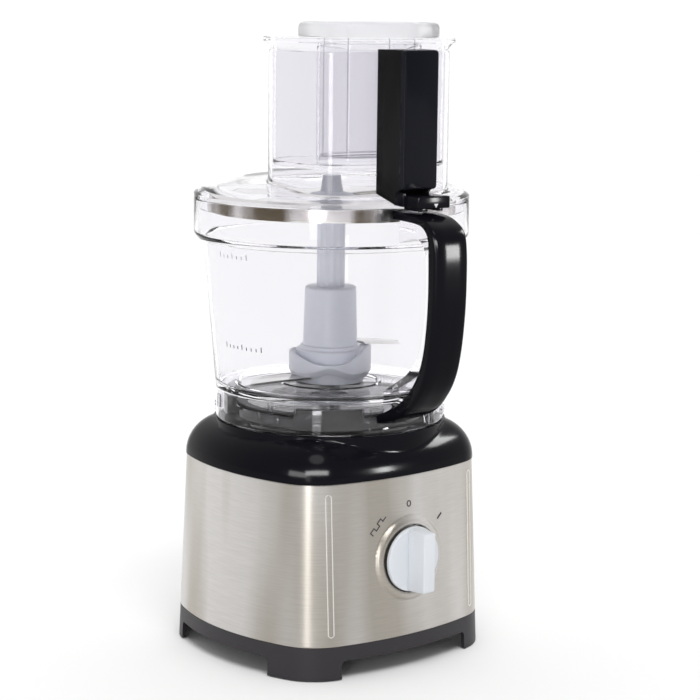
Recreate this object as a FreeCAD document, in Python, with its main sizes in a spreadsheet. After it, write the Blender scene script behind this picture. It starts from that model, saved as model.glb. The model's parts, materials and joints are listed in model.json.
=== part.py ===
"""Food processor: base with dial and belt drive, clear bowl with handle, blades, disc, lid and pushers.

Frame: millimetres, +Z up, origin on the floor under the bowl's axis. The dial faces -Y.
The bowl, its handle, the lid and the feed chute are drawn with the handle on -Y and then
turned about Z by handle_turn.
"""
import FreeCAD, Part
import Sketcher
import math
import os
import re

from FreeCAD import Placement, Rotation, Vector

SIZES = {
    # base shell
    "steel_low": 23, "steel_high": 132, "steel_wall": 1.0,
    "front_low": 89, "front_high": 84, "side_low": 94.5, "side_high": 90,
    "front_bulge": 230, "side_bulge": 165, "corner_low": 37, "corner_high": 34,
    "rib_spread": 62, "rib_half": 2.6, "rib_proud": 0.8, "rib_inset": 6.5,
    "dome_rise": 28, "dome_shrink": 30, "dome_lip": 0.5, "housing_wall": 2.5,
    "ring_radius": 80, "ring_high": 160, "turret_radius": 68, "turret_high": 170,
    "block_reach": 73, "block_low": 162, "block_high": 177, "block_start": -148, "block_span": 37,
    "foot_gap_front": 55, "foot_gap_side": 51, "arch_shift": 5, "arch_high": 13,
    "arch_round": 3.5, "foot_wall": 3, "foot_low": 0.8,
    "tray_low": 16, "tray_high": 19, "pad_radius": 8, "pad_high": 5, "pad_front": 50, "pad_side": 54,
    # dial
    "dial_high": 75.6, "dial_face": 88.2, "dial_radius": 22, "dial_thick": 3.2, "grip_half": 5,
    "grip_reach": 21, "grip_proud": 16.2, "bezel_outer": 29, "bezel_inner": 23, "bezel_proud": 2.8,
    "dial_shaft": 3, "switch_half": 16, "switch_near": 82, "switch_far": 58,
    # drive
    "motor_off": 48, "plate_low": 60, "plate_thick": 4, "plate_half": 58, "plate_front": 42,
    "plate_back": 76, "post_radius": 5, "spindle_radius": 8, "spindle_low": 36, "hex_low": 216,
    "spindle_high": 246, "hex_corner": 6.9, "bearing_outer": 13, "bearing_wall": 3, "bearing_tall": 10,
    "top_bearing": 156, "run_gap": 0.05, "belt_low": 44, "belt_tall": 10, "belt_thick": 1.8,
    "belt_gap": 0.3, "driven_radius": 36, "driver_radius": 9, "flange_reach": 1.4, "shaft_radius": 4,
    "shaft_low": 40, "shaft_high": 146, "stack_half": 30, "stack_low": 88, "stack_tall": 30,
    "stack_bore": 19, "core_radius": 18.4, "coil_depth": 7, "coil_half": 13, "coil_over": 3.4,
    "fan_low": 76, "fan_tall": 7, "fan_radius": 27, "comm_low": 124, "comm_tall": 10, "comm_radius": 10,
    "bracket_low": 138, "bracket_thick": 3, "bracket_half": 34, "bracket_depth": 11,
    # bowl
    "handle_turn": 6, "skirt_outer": 78.8, "skirt_inner": 76.7, "skirt_low": 160.5,
    "floor_low": 181, "floor_high": 183.4, "wall_reach": 87.5, "band_low": 284, "band_high": 311,
    "band_outer": 94, "bowl_wall": 2, "tube_outer": 14, "tube_inner": 11.5, "tube_high": 236,
    "rib_reach": 79.8, "lock_inner": 58, "lock_outer": 64, "lock_low": 170.35, "lock_thick": 1.2,
    "cover_half": 13, "core_half": 8, "grip_round": 3.4,
    # blades and disc
    "hub_low": 184.2, "collar_radius": 23.5, "collar_high": 207, "hub_radius": 18.8, "hub_top": 17.7,
    "hub_high": 250, "hub_bore": 15, "bore_high": 238, "hex_bore": 7.5, "flange_radius": 28.4,
    "flange_thick": 3, "flange_tilt": 20, "flange_mid": 197, "blade_thick": 1.6, "blade_tip": 73,
    "lower_blade": 188, "upper_blade": 207, "blade_droop": 7, "stem_radius": 9.7,
    "stem_high": 296, "key_corner": 6,
    "disc_radius": 84.8, "disc_rim_low": 302, "disc_high": 310.7, "disc_thick": 1.2,
    "disc_hub_radius": 17, "disc_hub_high": 313, "stub_radius": 6, "stub_high": 326,
    # lid, chute, pushers
    "lid_low": 311.4, "lid_edge": 314, "lid_inner_skirt": 91.4, "lid_skirt_low": 304,
    "lid_shoulder": 86, "lid_shoulder_high": 319, "lid_crown": 68, "lid_high": 325, "lid_wall": 2.4,
    "chute_front": 47, "chute_side": 59.5, "chute_off": 32, "chute_corner": 34, "chute_wall": 2.5,
    "chute_low": 318, "chute_high": 411.5, "chute_bulge": 140, "chute_side_bulge": 95,
    "box_face": 103.5, "box_back": 79.4, "box_half": 13.5, "box_flare": 18, "box_high": 413.5,
    "box_wall": 2, "latch_face": 118, "latch_low": 311.9, "latch_high": 321.5,
    "pusher_gap": 0.8, "pusher_low": 336, "pusher_wall": 2, "lip_low": 417, "lip_high": 420,
    "lip_reach": 3.6, "tube_off": 43, "tube_front": 24, "tube_side": 34, "tube_corner": 16,
    "cap_front": 35, "cap_side": 47, "cap_corner": 27, "cap_low": 420.4, "cap_high": 430,
    "small_low": 342, "rod_radius": 2.5, "rod_low": 334, "rod_high": 404, "rod_collar": 5,
}

doc = FreeCAD.newDocument("FoodProcessor")
sheet = doc.addObject("Spreadsheet::Sheet", "Sizes")
for row, (alias, number) in enumerate(SIZES.items(), start=1):
    sheet.set(f"A{row}", alias)
    sheet.set(f"B{row}", str(number))
    sheet.setAlias(f"B{row}", alias)
doc.recompute()

WORD = re.compile(r"[a-z][a-z_]*")
nodes = []


def bound(text):
    """The expression with every alias looked up in the sheet."""
    return WORD.sub(lambda word: "Sizes." + word.group(), text)


def size(text):
    """The number that an expression of aliases has now."""
    return float(sheet.evalExpression(bound(text)))


def bind(thing, **properties):
    """Tie properties of an object to expressions of aliases."""
    for name, text in properties.items():
        thing.setExpression(name.replace("__", "."), bound(text))
    return thing


def place(thing, east="0", north="0", high="0"):
    """Tie an object's place to expressions of aliases."""
    return bind(thing, Placement__Base__x=east, Placement__Base__y=north, Placement__Base__z=high)


def keep(label, thing, turned=False):
    """Name a finished sub-part; pieces of the bowl's frame turn with the handle."""
    thing.Label = label
    if turned:
        turn = Rotation(Vector(0, 0, 1), -size("handle_turn"))
        thing.Placement = Placement(Vector(), turn) * thing.Placement
    nodes.append(thing)
    return thing


def box(length, width, height, east="0", north="0", high="0", name="Block"):
    """A block centred on east and north, standing on high."""
    block = bind(doc.addObject("Part::Box", name), Length=length, Width=width, Height=height)
    return place(block, f"({east}) - ({length}) / 2", f"({north}) - ({width}) / 2", high)


def rod(radius, height, east="0", north="0", high="0", name="Rod"):
    """An upright cylinder."""
    cylinder = bind(doc.addObject("Part::Cylinder", name), Radius=radius, Height=height)
    return place(cylinder, east, north, high)


def hexagon(corner, height, high, name="Hexagon"):
    """An upright hexagonal prism on the axis."""
    prism = doc.addObject("Part::Prism", name)
    prism.Polygon = 6
    bind(prism, Circumradius=corner, Height=height)
    return place(prism, high=high)


def fuse(*things, name="Joined"):
    joined = doc.addObject("Part::MultiFuse", name)
    joined.Shapes = list(things)
    return joined


def cut(base, *tools, name="Cut"):
    less = doc.addObject("Part::Cut", name)
    less.Base = base
    less.Tool = tools[0] if len(tools) == 1 else fuse(*tools, name="Tools")
    return less


def common(first, second, name="Shared"):
    shared = doc.addObject("Part::MultiCommon", name)
    shared.Shapes = [first, second]
    return shared


def solid(shape, name="Formed"):
    """A shape that neither a sketch nor a primitive gives."""
    feature = doc.addObject("Part::Feature", name)
    feature.Shape = shape
    return feature


def ring(outer, inner, height, east="0", north="0", high="0", name="Ring"):
    """A round tube."""
    return cut(rod(outer, height, east, north, high), rod(inner, height, east, north, high), name=name)


def outline_sketch(body, role, points):
    """A closed, fully held sketch of straight lines through points given as pairs of expressions."""
    plane = next(part for part in body.Origin.OriginFeatures if part.Role == role)
    sketch = body.newObject("Sketcher::SketchObject", "Outline")
    sketch.AttachmentSupport = [(plane, "")]
    sketch.MapMode = "FlatFace"
    corners = [Vector(size(across), size(up), 0) for across, up in points]
    count = len(corners)
    for number in range(count):
        sketch.addGeometry(Part.LineSegment(corners[number], corners[(number + 1) % count]), False)
    for number in range(count):
        sketch.addConstraint(Sketcher.Constraint("Coincident", number, 2, (number + 1) % count, 1))
    for number, pair in enumerate(points):
        for kind, text, axis in (("DistanceX", pair[0], -2), ("DistanceY", pair[1], -1)):
            if text == "0":
                sketch.addConstraint(Sketcher.Constraint("PointOnObject", number, 1, axis))
                continue
            held = Sketcher.Constraint(kind, -1, 1, number, 1, size(text))
            index = sketch.addConstraint(held)
            name = f"{kind[-1].lower()}_{number}"
            sketch.renameConstraint(index, name)
            sketch.setExpression(f"Constraints.{name}", bound(text))
    return sketch


def turned_body(points, name="Turned"):
    """A body turned about its Z axis from a half section of (radius, height) pairs."""
    body = doc.addObject("PartDesign::Body", name)
    sketch = outline_sketch(body, "XZ_Plane", points)
    turn = body.newObject("PartDesign::Revolution", "Turn")
    turn.Profile = sketch
    turn.ReferenceAxis = (sketch, ["V_Axis"])
    turn.Angle = 360
    return body


def padded_body(points, length, name="Padded"):
    """A body padded upwards from an outline in the XY plane."""
    body = doc.addObject("PartDesign::Body", name)
    sketch = outline_sketch(body, "XY_Plane", points)
    pad = body.newObject("PartDesign::Pad", "Pad")
    pad.Profile = sketch
    bind(pad, Length=length)
    return body


# ---------------------------------------------------------------- bulged rounded squares
class Plan:
    """A rounded square with bulged sides: four wide arcs joined by four tangent corner arcs."""

    def __init__(self, front, side, front_bulge, side_bulge, corner):
        self.numbers = (front, side, front_bulge, side_bulge, corner)

    def grown(self, distance):
        """The parallel outline that lies outside by a distance."""
        return Plan(*(number + distance for number in self.numbers))

    def wire(self, high, north=0.0):
        """The outline as one closed wire at a height."""
        front, side, front_bulge, side_bulge, corner = self.numbers
        front_centre = Vector(0, front_bulge - front, 0)
        side_centre = Vector(side - side_bulge, 0, 0)
        corner_centre = meeting(front_centre, front_bulge - corner, side_centre, side_bulge - corner)
        on_front = beyond(front_centre, corner_centre, front_bulge)
        on_side = beyond(side_centre, corner_centre, side_bulge)
        on_corner = corner_centre + (on_front + on_side - corner_centre * 2).normalize() * corner
        place_it = lambda east, y, point: Vector(east * point.x, y * point.y + north, high)
        edges = [Part.Arc(place_it(-1, 1, on_front), Vector(0, north - front, high),
                          place_it(1, 1, on_front))]
        for east, south, flip in ((1, 1, False), (1, -1, True), (-1, -1, False), (-1, 1, True)):
            start, end = (on_side, on_front) if flip else (on_front, on_side)
            edges.append(Part.Arc(*(place_it(east, south, point) for point in (start, on_corner, end))))
            if not flip:
                edges.append(Part.Arc(place_it(east, south, on_side),
                                      Vector(east * side, north, high),
                                      place_it(east, -south, on_side)))
            elif east == 1:
                edges.append(Part.Arc(place_it(1, -1, on_front), Vector(0, north + front, high),
                                      place_it(-1, -1, on_front)))
        return Part.Wire([edge.toShape() for edge in edges])


def meeting(first, first_radius, second, second_radius):
    """Where two circles meet, on the +X, -Y side."""
    apart = second - first
    span = apart.Length
    along = (first_radius ** 2 - second_radius ** 2 + span ** 2) / (2 * span)
    aside = math.sqrt(first_radius ** 2 - along ** 2)
    unit = apart.normalize()
    across = Vector(-unit.y, unit.x, 0)
    points = [first + unit * along + across * side * aside for side in (1, -1)]
    return max(points, key=lambda point: point.x - point.y)


def beyond(centre, through, radius):
    """The point on a circle that lies straight beyond another point."""
    return centre + (through - centre).normalize() * radius


def steel_plan(high):
    """The base's outline at a height: it narrows evenly from the skirt to the dome."""
    share = (high - size("steel_low")) / size("steel_high - steel_low")
    between = lambda name: size(name + "_low") + share * (size(name + "_high") - size(name + "_low"))
    return Plan(between("front"), between("side"), size("front_bulge"), size("side_bulge"),
                between("corner"))


def tapered(grow, low, high, name):
    """The base's outline, grown by a distance, lofted from one height to another."""
    wires = [steel_plan(level).grown(grow).wire(level) for level in (low, high)]
    return solid(Part.makeLoft(wires, True, True), name)


def dome(grow, rise, name):
    """The shoulder over the steel band: the outline shrinks along a quarter ellipse."""
    low = size("steel_high")
    shrink = size("dome_shrink")
    wires = []
    for step in range(6):
        angle = math.radians(step * 15)
        level = low + rise * math.sin(angle)
        wires.append(steel_plan(low).grown(grow - shrink * (1 - math.cos(angle))).wire(level))
    return solid(Part.makeLoft(wires, True, False), name)


def prism(plan, low, high, north, name):
    """An upright prism on a bulged rounded square."""
    face = Part.Face(plan.wire(size(low), size(north)))
    return solid(face.extrude(Vector(0, 0, size(high) - size(low))), name)


# ---------------------------------------------------------------- base
def steel_band():
    """Brushed steel wrap with two upright ribs and a raised ring round the dial."""
    low, high = size("steel_low"), size("steel_high")
    skin = tapered(0, low, high, "BandSkin")
    ribs = []
    for side in (-1, 1):
        tall = "steel_high - steel_low - 2 * rib_inset - 2 * rib_half"
        middle = box("2 * rib_half", "front_low", tall, f"{side} * rib_spread",
                     "-front_low", "steel_low + rib_inset + rib_half")
        ribs.append(middle)
        for end in ("steel_low + rib_inset + rib_half", "steel_high - rib_inset - rib_half"):
            ribs.append(lying("rib_half", "front_low", f"{side} * rib_spread", end, "front_low / 2"))
    raised = common(fuse(*ribs), tapered(size("rib_proud"), low, high, "RibSkin"))
    bezel = cut(lying("bezel_outer", "front_low", "0", "dial_high", "front_low / 2"),
                lying("bezel_inner", "front_low", "0", "dial_high", "front_low / 2"))
    bezel = common(bezel, tapered(size("bezel_proud"), low, high, "BezelSkin"))
    inside = tapered(-size("steel_wall"), low, high, "BandInside")
    hole = lying("dial_shaft + 2", "front_low", "0", "dial_high", "front_low / 2")
    keep("steel_band", cut(fuse(skin, raised, bezel), inside, hole, name="SteelBand"))


def lying(radius, length, east, high, near, name="Lying"):
    """A cylinder along -Y that starts at a distance in front of the axis."""
    cylinder = bind(doc.addObject("Part::Cylinder", name), Radius=radius, Height=length)
    cylinder.Placement = Placement(Vector(), Rotation(Vector(1, 0, 0), 90))
    return place(cylinder, east, f"-({near})", high)


def upper_housing():
    """Gloss shoulder, ring and turret in one shell, with the top bearing's seat and four blocks."""
    wall = size("housing_wall")
    outer = fuse(dome(size("dome_lip"), size("dome_rise"), "DomeOutside"),
                 rod("ring_radius", "ring_high - steel_high - 12", high="steel_high + 12"),
                 rod("turret_radius", "turret_high - ring_high + 4", high="ring_high - 4"))
    inner = fuse(dome(size("dome_lip") - wall, size("dome_rise") - wall, "DomeInside"),
                 rod("ring_radius - housing_wall", "ring_high - housing_wall - steel_high - 8",
                     high="steel_high + 8"),
                 rod("turret_radius - housing_wall", "turret_high - housing_wall - steel_high - 8",
                     high="steel_high + 8"))
    seat = ring("bearing_outer + bearing_wall", "bearing_outer",
                "turret_high - housing_wall - top_bearing", high="top_bearing")
    hole = rod("bearing_outer", "turret_high", high="turret_high - 12")
    keep("upper_housing", fuse(cut(outer, inner, hole), seat, bayonet_blocks(), name="UpperHousing"))


def sector(inner, outer, low, tall, start, span):
    """Part of a round tube between two angles, in degrees."""
    section = Part.makePolygon([Vector(inner, 0, low), Vector(outer, 0, low),
                                Vector(outer, 0, low + tall), Vector(inner, 0, low + tall),
                                Vector(inner, 0, low)])
    swept = Part.Face(section).revolve(Vector(), Vector(0, 0, 1), span)
    swept.rotate(Vector(), Vector(0, 0, 1), start)
    return swept


def bayonet_blocks():
    """Four raised blocks on the turret's rim that the bowl locks round."""
    blocks = [sector(size("turret_radius") - 1, size("block_reach"), size("block_low"),
                     size("block_high - block_low"), quarter * 90 + size("block_start"),
                     size("block_span")) for quarter in range(4)]
    return solid(blocks[0].multiFuse(blocks[1:]), "Blocks")


def base_skirt():
    """Matt plastic tray: thin wall on four corner feet, floor, pad bosses and plate posts."""
    low = size("foot_low")
    high = size("steel_low")
    outer = tapered(0, low, high, "SkirtOutside")
    inner = tapered(-size("foot_wall"), low, high, "SkirtInside")
    arches = [arch("2 * foot_gap_front", "4 * front_low", "0", Vector(0, 1, 0)),
              arch("4 * side_low", "2 * foot_gap_side", "arch_shift", Vector(1, 0, 0))]
    wall = cut(outer, inner, *arches)
    floor = common(box("4 * side_low", "4 * front_low", "tray_high - tray_low", high="tray_low"),
                   tapered(-size("foot_wall") + 0.5, low, high, "FloorEdge"))
    bosses = [rod("pad_radius", "tray_low - pad_high + 1", f"{east} * pad_side",
                  f"{north} * pad_front", "pad_high") for east in (-1, 1) for north in (-1, 1)]
    posts = [rod("post_radius", "plate_low - tray_low", f"{east} * (plate_half - 7)", north, "tray_low")
             for east in (-1, 1) for north in ("-(plate_front - 7)", "plate_back - 7")]
    keep("base_skirt", fuse(wall, floor, *bosses, *posts, name="BaseSkirt"))


def arch(length, width, north, along):
    """A tunnel between the feet with rounded upper corners."""
    tunnel = box(length, width, "arch_high - foot_low", north=north, high="foot_low")
    doc.recompute()
    top = [edge for edge in tunnel.Shape.Edges if edge.CenterOfMass.z > size("arch_high") - 0.1
           and abs(edge.tangentAt(edge.FirstParameter).dot(along)) > 0.9]
    return solid(tunnel.Shape.makeFillet(size("arch_round"), top), "Arch")


def rubber_feet():
    """Four round pads under the corners."""
    pads = [rod("pad_radius", "pad_high", f"{east} * pad_side", f"{north} * pad_front")
            for east in (-1, 1) for north in (-1, 1)]
    keep("rubber_feet", fuse(*pads, name="RubberFeet"))


def dial():
    """Knob disc with an upright grip bar on a shaft that runs into the rotary switch."""
    disc = lying("dial_radius", "dial_thick", "0", "dial_high", "dial_face")
    rim = solid(softened(disc), "KnobDisc")
    grip = box("2 * grip_half", "grip_proud", "2 * grip_reach", "0",
               "-(dial_face + dial_thick + grip_proud / 2) + 0.5", "dial_high - grip_reach")
    grip = solid(softened(grip, 2.4), "KnobGrip")
    keep("dial_knob", fuse(rim, grip, name="DialKnob"))
    keep("switch_shaft", lying("dial_shaft", "dial_face - switch_far - 2", "0", "dial_high",
                               "switch_far + 2", name="SwitchShaft"))


def softened(feature, radius=1.2):
    """The feature's shape with its edges rounded, apart from a round piece's seam."""
    doc.recompute()
    edges = [edge for edge in feature.Shape.Edges if not edge.isSeam(feature.Shape.Faces[0])]
    return feature.Shape.makeFillet(radius, edges)


def rotary_switch():
    """Switch body behind the dial, with a clear bore for its shaft."""
    depth = "switch_near - switch_far"
    body = box("2 * switch_half", depth, "2 * switch_half", "0", "-(switch_near + switch_far) / 2",
               "dial_high - switch_half")
    bore = lying("dial_shaft + run_gap", "switch_near", "0", "dial_high", "switch_far + 1")
    keep("rotary_switch", cut(body, bore, name="RotarySwitch"))
    keep("control_board", box("60", "1.6", "40", "0", "-(switch_far - 1.2)", "dial_high - 16",
                              name="ControlBoard"))


def motor_plate():
    """Plate on the tray's posts that carries the motor and the spindle's lower bearing."""
    plate = box("2 * plate_half", "plate_front + plate_back", "plate_thick", "0",
                "(plate_back - plate_front) / 2", "plate_low")
    seat = rod("bearing_outer + bearing_wall", "bearing_tall + 2", high="plate_low")
    motor_seat = rod("bearing_wall + 9", "plate_thick + 6", north="motor_off", high="plate_low")
    holes = [rod("bearing_outer", "bearing_tall + 2", high="plate_low"),
             rod("9", "plate_thick + 6", north="motor_off", high="plate_low")]
    keep("motor_plate", cut(fuse(plate, seat, motor_seat), *holes, name="MotorPlate"))
    screws = [rod("4", "2.4", f"{east} * (plate_half - 7)", north, "plate_low + plate_thick")
              for east in (-1, 1) for north in ("-(plate_front - 7)", "plate_back - 7")]
    keep("plate_screws", fuse(*screws, name="PlateScrews"))


def bearings():
    """Ball bearings as plain rings: two on the spindle, two on the motor shaft."""
    keep("spindle_lower_bearing", ring("bearing_outer", "spindle_radius + run_gap", "bearing_tall",
                                       high="plate_low + 1", name="LowerBearing"))
    keep("spindle_upper_bearing", ring("bearing_outer", "spindle_radius + run_gap", "bearing_tall",
                                       high="top_bearing + 1", name="UpperBearing"))
    keep("motor_lower_bearing", ring("9", "shaft_radius + run_gap", "7", north="motor_off",
                                     high="plate_low + 1", name="MotorBearing"))
    keep("motor_upper_bearing", ring("8", "shaft_radius + run_gap", "bracket_thick + 2",
                                     north="motor_off", high="bracket_low", name="MotorTopBearing"))


def motor():
    """Universal motor: fixed field, turning armature, brushes on the top bracket."""
    stack = box("2 * stack_half", "2 * stack_half", "stack_tall", "0", "motor_off", "stack_low")
    slots = box("2 * stack_bore + 2 * coil_depth", "2 * coil_half", "stack_tall", "0", "motor_off",
                "stack_low")
    bore = rod("stack_bore", "stack_tall", north="motor_off", high="stack_low")
    keep("stator_stack", cut(stack, bore, slots, name="StatorStack"))
    coils = [box("coil_depth - 0.6", "2 * coil_half", "stack_tall + 2 * coil_over",
                 f"{side} * (stack_bore + coil_depth / 2 + 0.3)", "motor_off", "stack_low - coil_over")
             for side in (-1, 1)]
    keep("field_coils", fuse(*coils, name="FieldCoils"))
    bridge = box("2 * bracket_half", "2 * bracket_depth", "bracket_thick", "0", "motor_off", "bracket_low")
    legs = [box("3", "2 * bracket_depth", "bracket_low - plate_low - plate_thick",
                f"{side} * (bracket_half - 1.5)", "motor_off", "plate_low + plate_thick")
            for side in (-1, 1)]
    shelves = [box("bracket_half - stack_half", "2 * bracket_depth", "3",
                   f"{side} * (bracket_half + stack_half) / 2", "motor_off", "stack_low - 3")
               for side in (-1, 1)]
    hole = rod("8", "20", north="motor_off", high="bracket_low - 5")
    keep("motor_bracket", cut(fuse(bridge, *legs, *shelves), hole, name="MotorBracket"))
    reach = "bracket_half - 3 - comm_radius - 0.3"
    brushes = [box(reach, "7", "comm_tall - 3", f"{side} * (comm_radius + 0.3 + ({reach}) / 2)",
                   "motor_off", "comm_low + 1.5") for side in (-1, 1)]
    keep("brush_holders", fuse(*brushes, name="BrushHolders"))


def armature():
    """Everything that turns with the motor shaft."""
    def on_shaft(radius, tall, high, name):
        return ring(radius, "shaft_radius", tall, north="motor_off", high=high, name=name)

    keep("motor_shaft", rod("shaft_radius", "shaft_high - shaft_low", north="motor_off",
                            high="shaft_low", name="MotorShaft"))
    keep("armature_core", on_shaft("core_radius", "stack_tall", "stack_low", "ArmatureCore"))
    ends = [on_shaft("core_radius - 3", "coil_over", "stack_low - coil_over", "EndTurns"),
            on_shaft("core_radius - 3", "coil_over", "stack_low + stack_tall", "EndTurns")]
    keep("armature_windings", fuse(*ends, name="ArmatureWindings"))
    keep("commutator", on_shaft("comm_radius", "comm_tall", "comm_low", "Commutator"))
    vanes = [box("fan_radius - 9", "1.6", "fan_tall - 1.6", "(fan_radius + 9) / 2",
                 high="fan_low + 1.6") for _ in range(12)]
    for number, vane in enumerate(vanes):
        turn = Rotation(Vector(0, 0, 1), number * 30)
        middle = Vector((size("fan_radius") - 9) / -2, -0.8, 0)
        spot = Vector((size("fan_radius") + 9) / 2, 0, 0)
        vane.setExpression("Placement.Base.x", None)
        vane.setExpression("Placement.Base.y", None)
        vane.Placement = Placement(Vector(0, size("motor_off"), size("fan_low") + 1.6), turn) \
            * Placement(spot + middle, Rotation())
    hub = on_shaft("10", "fan_tall", "fan_low", "FanHub")
    disc = on_shaft("fan_radius", "1.6", "fan_low", "FanDisc")
    keep("cooling_fan", fuse(disc, hub, *vanes, name="CoolingFan"))
    keep("motor_pulley", on_shaft("driver_radius", "belt_tall + 4", "belt_low - 2", "MotorPulley"))


def spindle():
    """Drive spindle with a hexagon at its top, and the driven pulley."""
    round_part = rod("spindle_radius", "hex_low - spindle_low", high="spindle_low")
    keep("drive_spindle", fuse(round_part, hexagon("hex_corner", "spindle_high - hex_low", "hex_low"),
                               name="DriveSpindle"))
    rim_low, rim_high = "belt_low - 1.5", "belt_low + belt_tall + 1.5"
    keep("driven_pulley", turned_body([
        ("spindle_radius", rim_low), ("driven_radius + flange_reach", rim_low),
        ("driven_radius + flange_reach", "belt_low - 0.5"), ("driven_radius", "belt_low - 0.5"),
        ("driven_radius", "belt_low + belt_tall + 0.5"),
        ("driven_radius + flange_reach", "belt_low + belt_tall + 0.5"),
        ("driven_radius + flange_reach", rim_high), ("driven_radius - 5", rim_high),
        ("driven_radius - 5", "belt_low + 4"), ("spindle_radius + 5", "belt_low + 4"),
        ("spindle_radius + 5", rim_high), ("spindle_radius", rim_high)], "DrivenPulley"))


def drive_belt():
    """Ribbed belt round both pulleys, drawn as a flat loop that stands just clear of them."""
    def loop(extra):
        big = size("driven_radius + belt_gap") + extra
        small = size("driver_radius + belt_gap") + extra
        apart = size("motor_off")
        lean = math.asin((big - small) / apart)
        points = []
        for side in (1, -1):
            unit = Vector(side * math.cos(lean), math.sin(lean), 0)
            points.append((unit * big, Vector(0, apart, 0) + unit * small))
        low = Vector(0, 0, size("belt_low"))
        (big_right, small_right), (big_left, small_left) = points
        edges = [Part.Arc(big_left + low, Vector(0, -big, 0) + low, big_right + low).toShape(),
                 Part.makeLine(big_right + low, small_right + low),
                 Part.Arc(small_right + low, Vector(0, apart + small, 0) + low, small_left + low).toShape(),
                 Part.makeLine(small_left + low, big_left + low)]
        return Part.Face(Part.Wire(edges)).extrude(Vector(0, 0, size("belt_tall")))

    keep("drive_belt", solid(loop(size("belt_thick")).cut(loop(0)), "DriveBelt"))


def base_details():
    """Inlet gland on the back and the safety switch under the turret."""
    gland = lying("6", "14", "40", "40", "-(front_low + 3)")
    collar = lying("9", "3", "40", "40", "-(front_low + 3)")
    keep("inlet_gland", cut(fuse(gland, collar), tapered(0, size("steel_low"), size("steel_high"), "Wall"),
                            name="InletGland"))
    keep("safety_switch", box("20", "10", "16", "-28", "-34", "plate_low + plate_thick",
                              name="SafetySwitch"))


# ---------------------------------------------------------------- bowl
# The ribs in one quarter of the skirt as (start angle, span, low, high)
SKIRT_RIBS = [(-154.4, 0.7, 161.5, 181), (-152.5, 0.7, 161.5, 181), (-140.4, 0.7, 161.5, 181),
              (-138.4, 13.2, 167.4, 168.4), (-125.9, 0.7, 161.5, 168), (-107.2, 3.6, 169.2, 178)]


def bowl():
    """Clear bowl: ribbed skirt, floor with raised rings, centre tube, tapered wall and rim band."""
    step = "floor_high + 1"
    shell = turned_body([
        ("skirt_inner", "skirt_low"), ("skirt_outer", "skirt_low"), ("skirt_outer", "floor_low"),
        ("wall_reach", "band_low - 1.5"), ("band_outer - 2.2", "band_low"), ("band_outer", "band_low + 2.5"),
        ("band_outer", "band_high"), ("band_outer - bowl_wall", "band_high"),
        ("band_outer - bowl_wall", "band_low + 3.5"), ("wall_reach - bowl_wall", "band_low + 1.5"),
        ("skirt_outer - bowl_wall", "floor_high"), ("66", "floor_high"), ("65", step), ("63", step),
        ("62", "floor_high"), ("36", "floor_high"), ("35", step), ("33", step), ("32", "floor_high"),
        ("tube_outer", "floor_high"), ("tube_outer", "tube_high"), ("tube_inner", "tube_high"),
        ("tube_inner", "floor_low"), ("skirt_inner", "floor_low")], "BowlShell")
    ribs = [solid(sector(size("skirt_outer") - 0.5, size("rib_reach"), low, high - low,
                         quarter * 90 + start, span), "SkirtRib")
            for quarter in range(4) for start, span, low, high in SKIRT_RIBS]
    keep("bowl", fuse(shell, *ribs, name="Bowl"), turned=True)
    keep("lock_ring", ring("lock_outer", "lock_inner", "lock_thick", high="lock_low", name="LockRing"))


# Side outline of the handle as (distance in front of the axis, height)
COVER_OUTER = [(92, 311), (116, 309.6), (127, 306.6), (136.5, 300.5), (140, 288), (140.4, 264),
               (139.2, 244), (136.4, 224), (131.5, 206), (123, 192), (108, 178.5), (76.5, 167)]
COVER_INNER = [(92, 305.2), (116, 304.4), (125, 302.2), (130.2, 296), (131.2, 285), (131.6, 262),
               (130.6, 243), (127.6, 223), (122.6, 209), (114, 196.5), (100, 184.5), (76.5, 173.2)]
CORE_INNER = [(92, 289.5), (108, 293.5), (117.5, 291), (121.2, 280), (122, 262), (121, 244),
              (117.5, 226), (110.5, 213), (100, 203), (77, 190)]


def side_shape(outer, inner, half):
    """A solid between two side curves, as wide as twice half."""
    def curve(points):
        spline = Part.BSplineCurve()
        spline.interpolate([Vector(0, -reach, high) for reach, high in points])
        return spline.toShape()

    ends = [Part.makeLine(*(Vector(0, -curve_points[end][0], curve_points[end][1])
                            for curve_points in (outer, inner))) for end in (0, -1)]
    face = Part.Face(Part.Wire([curve(outer), ends[1], curve(inner), ends[0]]))
    wide = face.extrude(Vector(2 * half, 0, 0))
    wide.translate(Vector(-half, 0, 0))
    return wide


def handle():
    """Gloss cover over a clear core that is moulded to the bowl."""
    cover = side_shape(COVER_OUTER, COVER_INNER, size("cover_half"))
    edges = sorted(cover.Edges, key=lambda edge: edge.Length)[-2:]
    cover = cover.makeFillet(size("grip_round"), edges)
    room = bowl_space()
    keep("handle_cover", solid(cover.cut(room), "HandleCover"), turned=True)
    core = side_shape(COVER_INNER, CORE_INNER, size("core_half"))
    keep("handle_core", solid(core.cut(room), "HandleCore"), turned=True)


def bowl_space():
    """The room that the bowl takes up, with its inside filled."""
    outline = [(0, 150), (size("skirt_outer"), 150), (size("skirt_outer"), size("floor_low")),
               (size("wall_reach"), size("band_low") - 1.5), (size("band_outer") - 2.2, size("band_low")),
               (size("band_outer"), size("band_low") + 2.5), (size("band_outer"), 340), (0, 340), (0, 150)]
    face = Part.Face(Part.makePolygon([Vector(reach, 0, high) for reach, high in outline]))
    return face.revolve(Vector(), Vector(0, 0, 1), 360)


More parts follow.
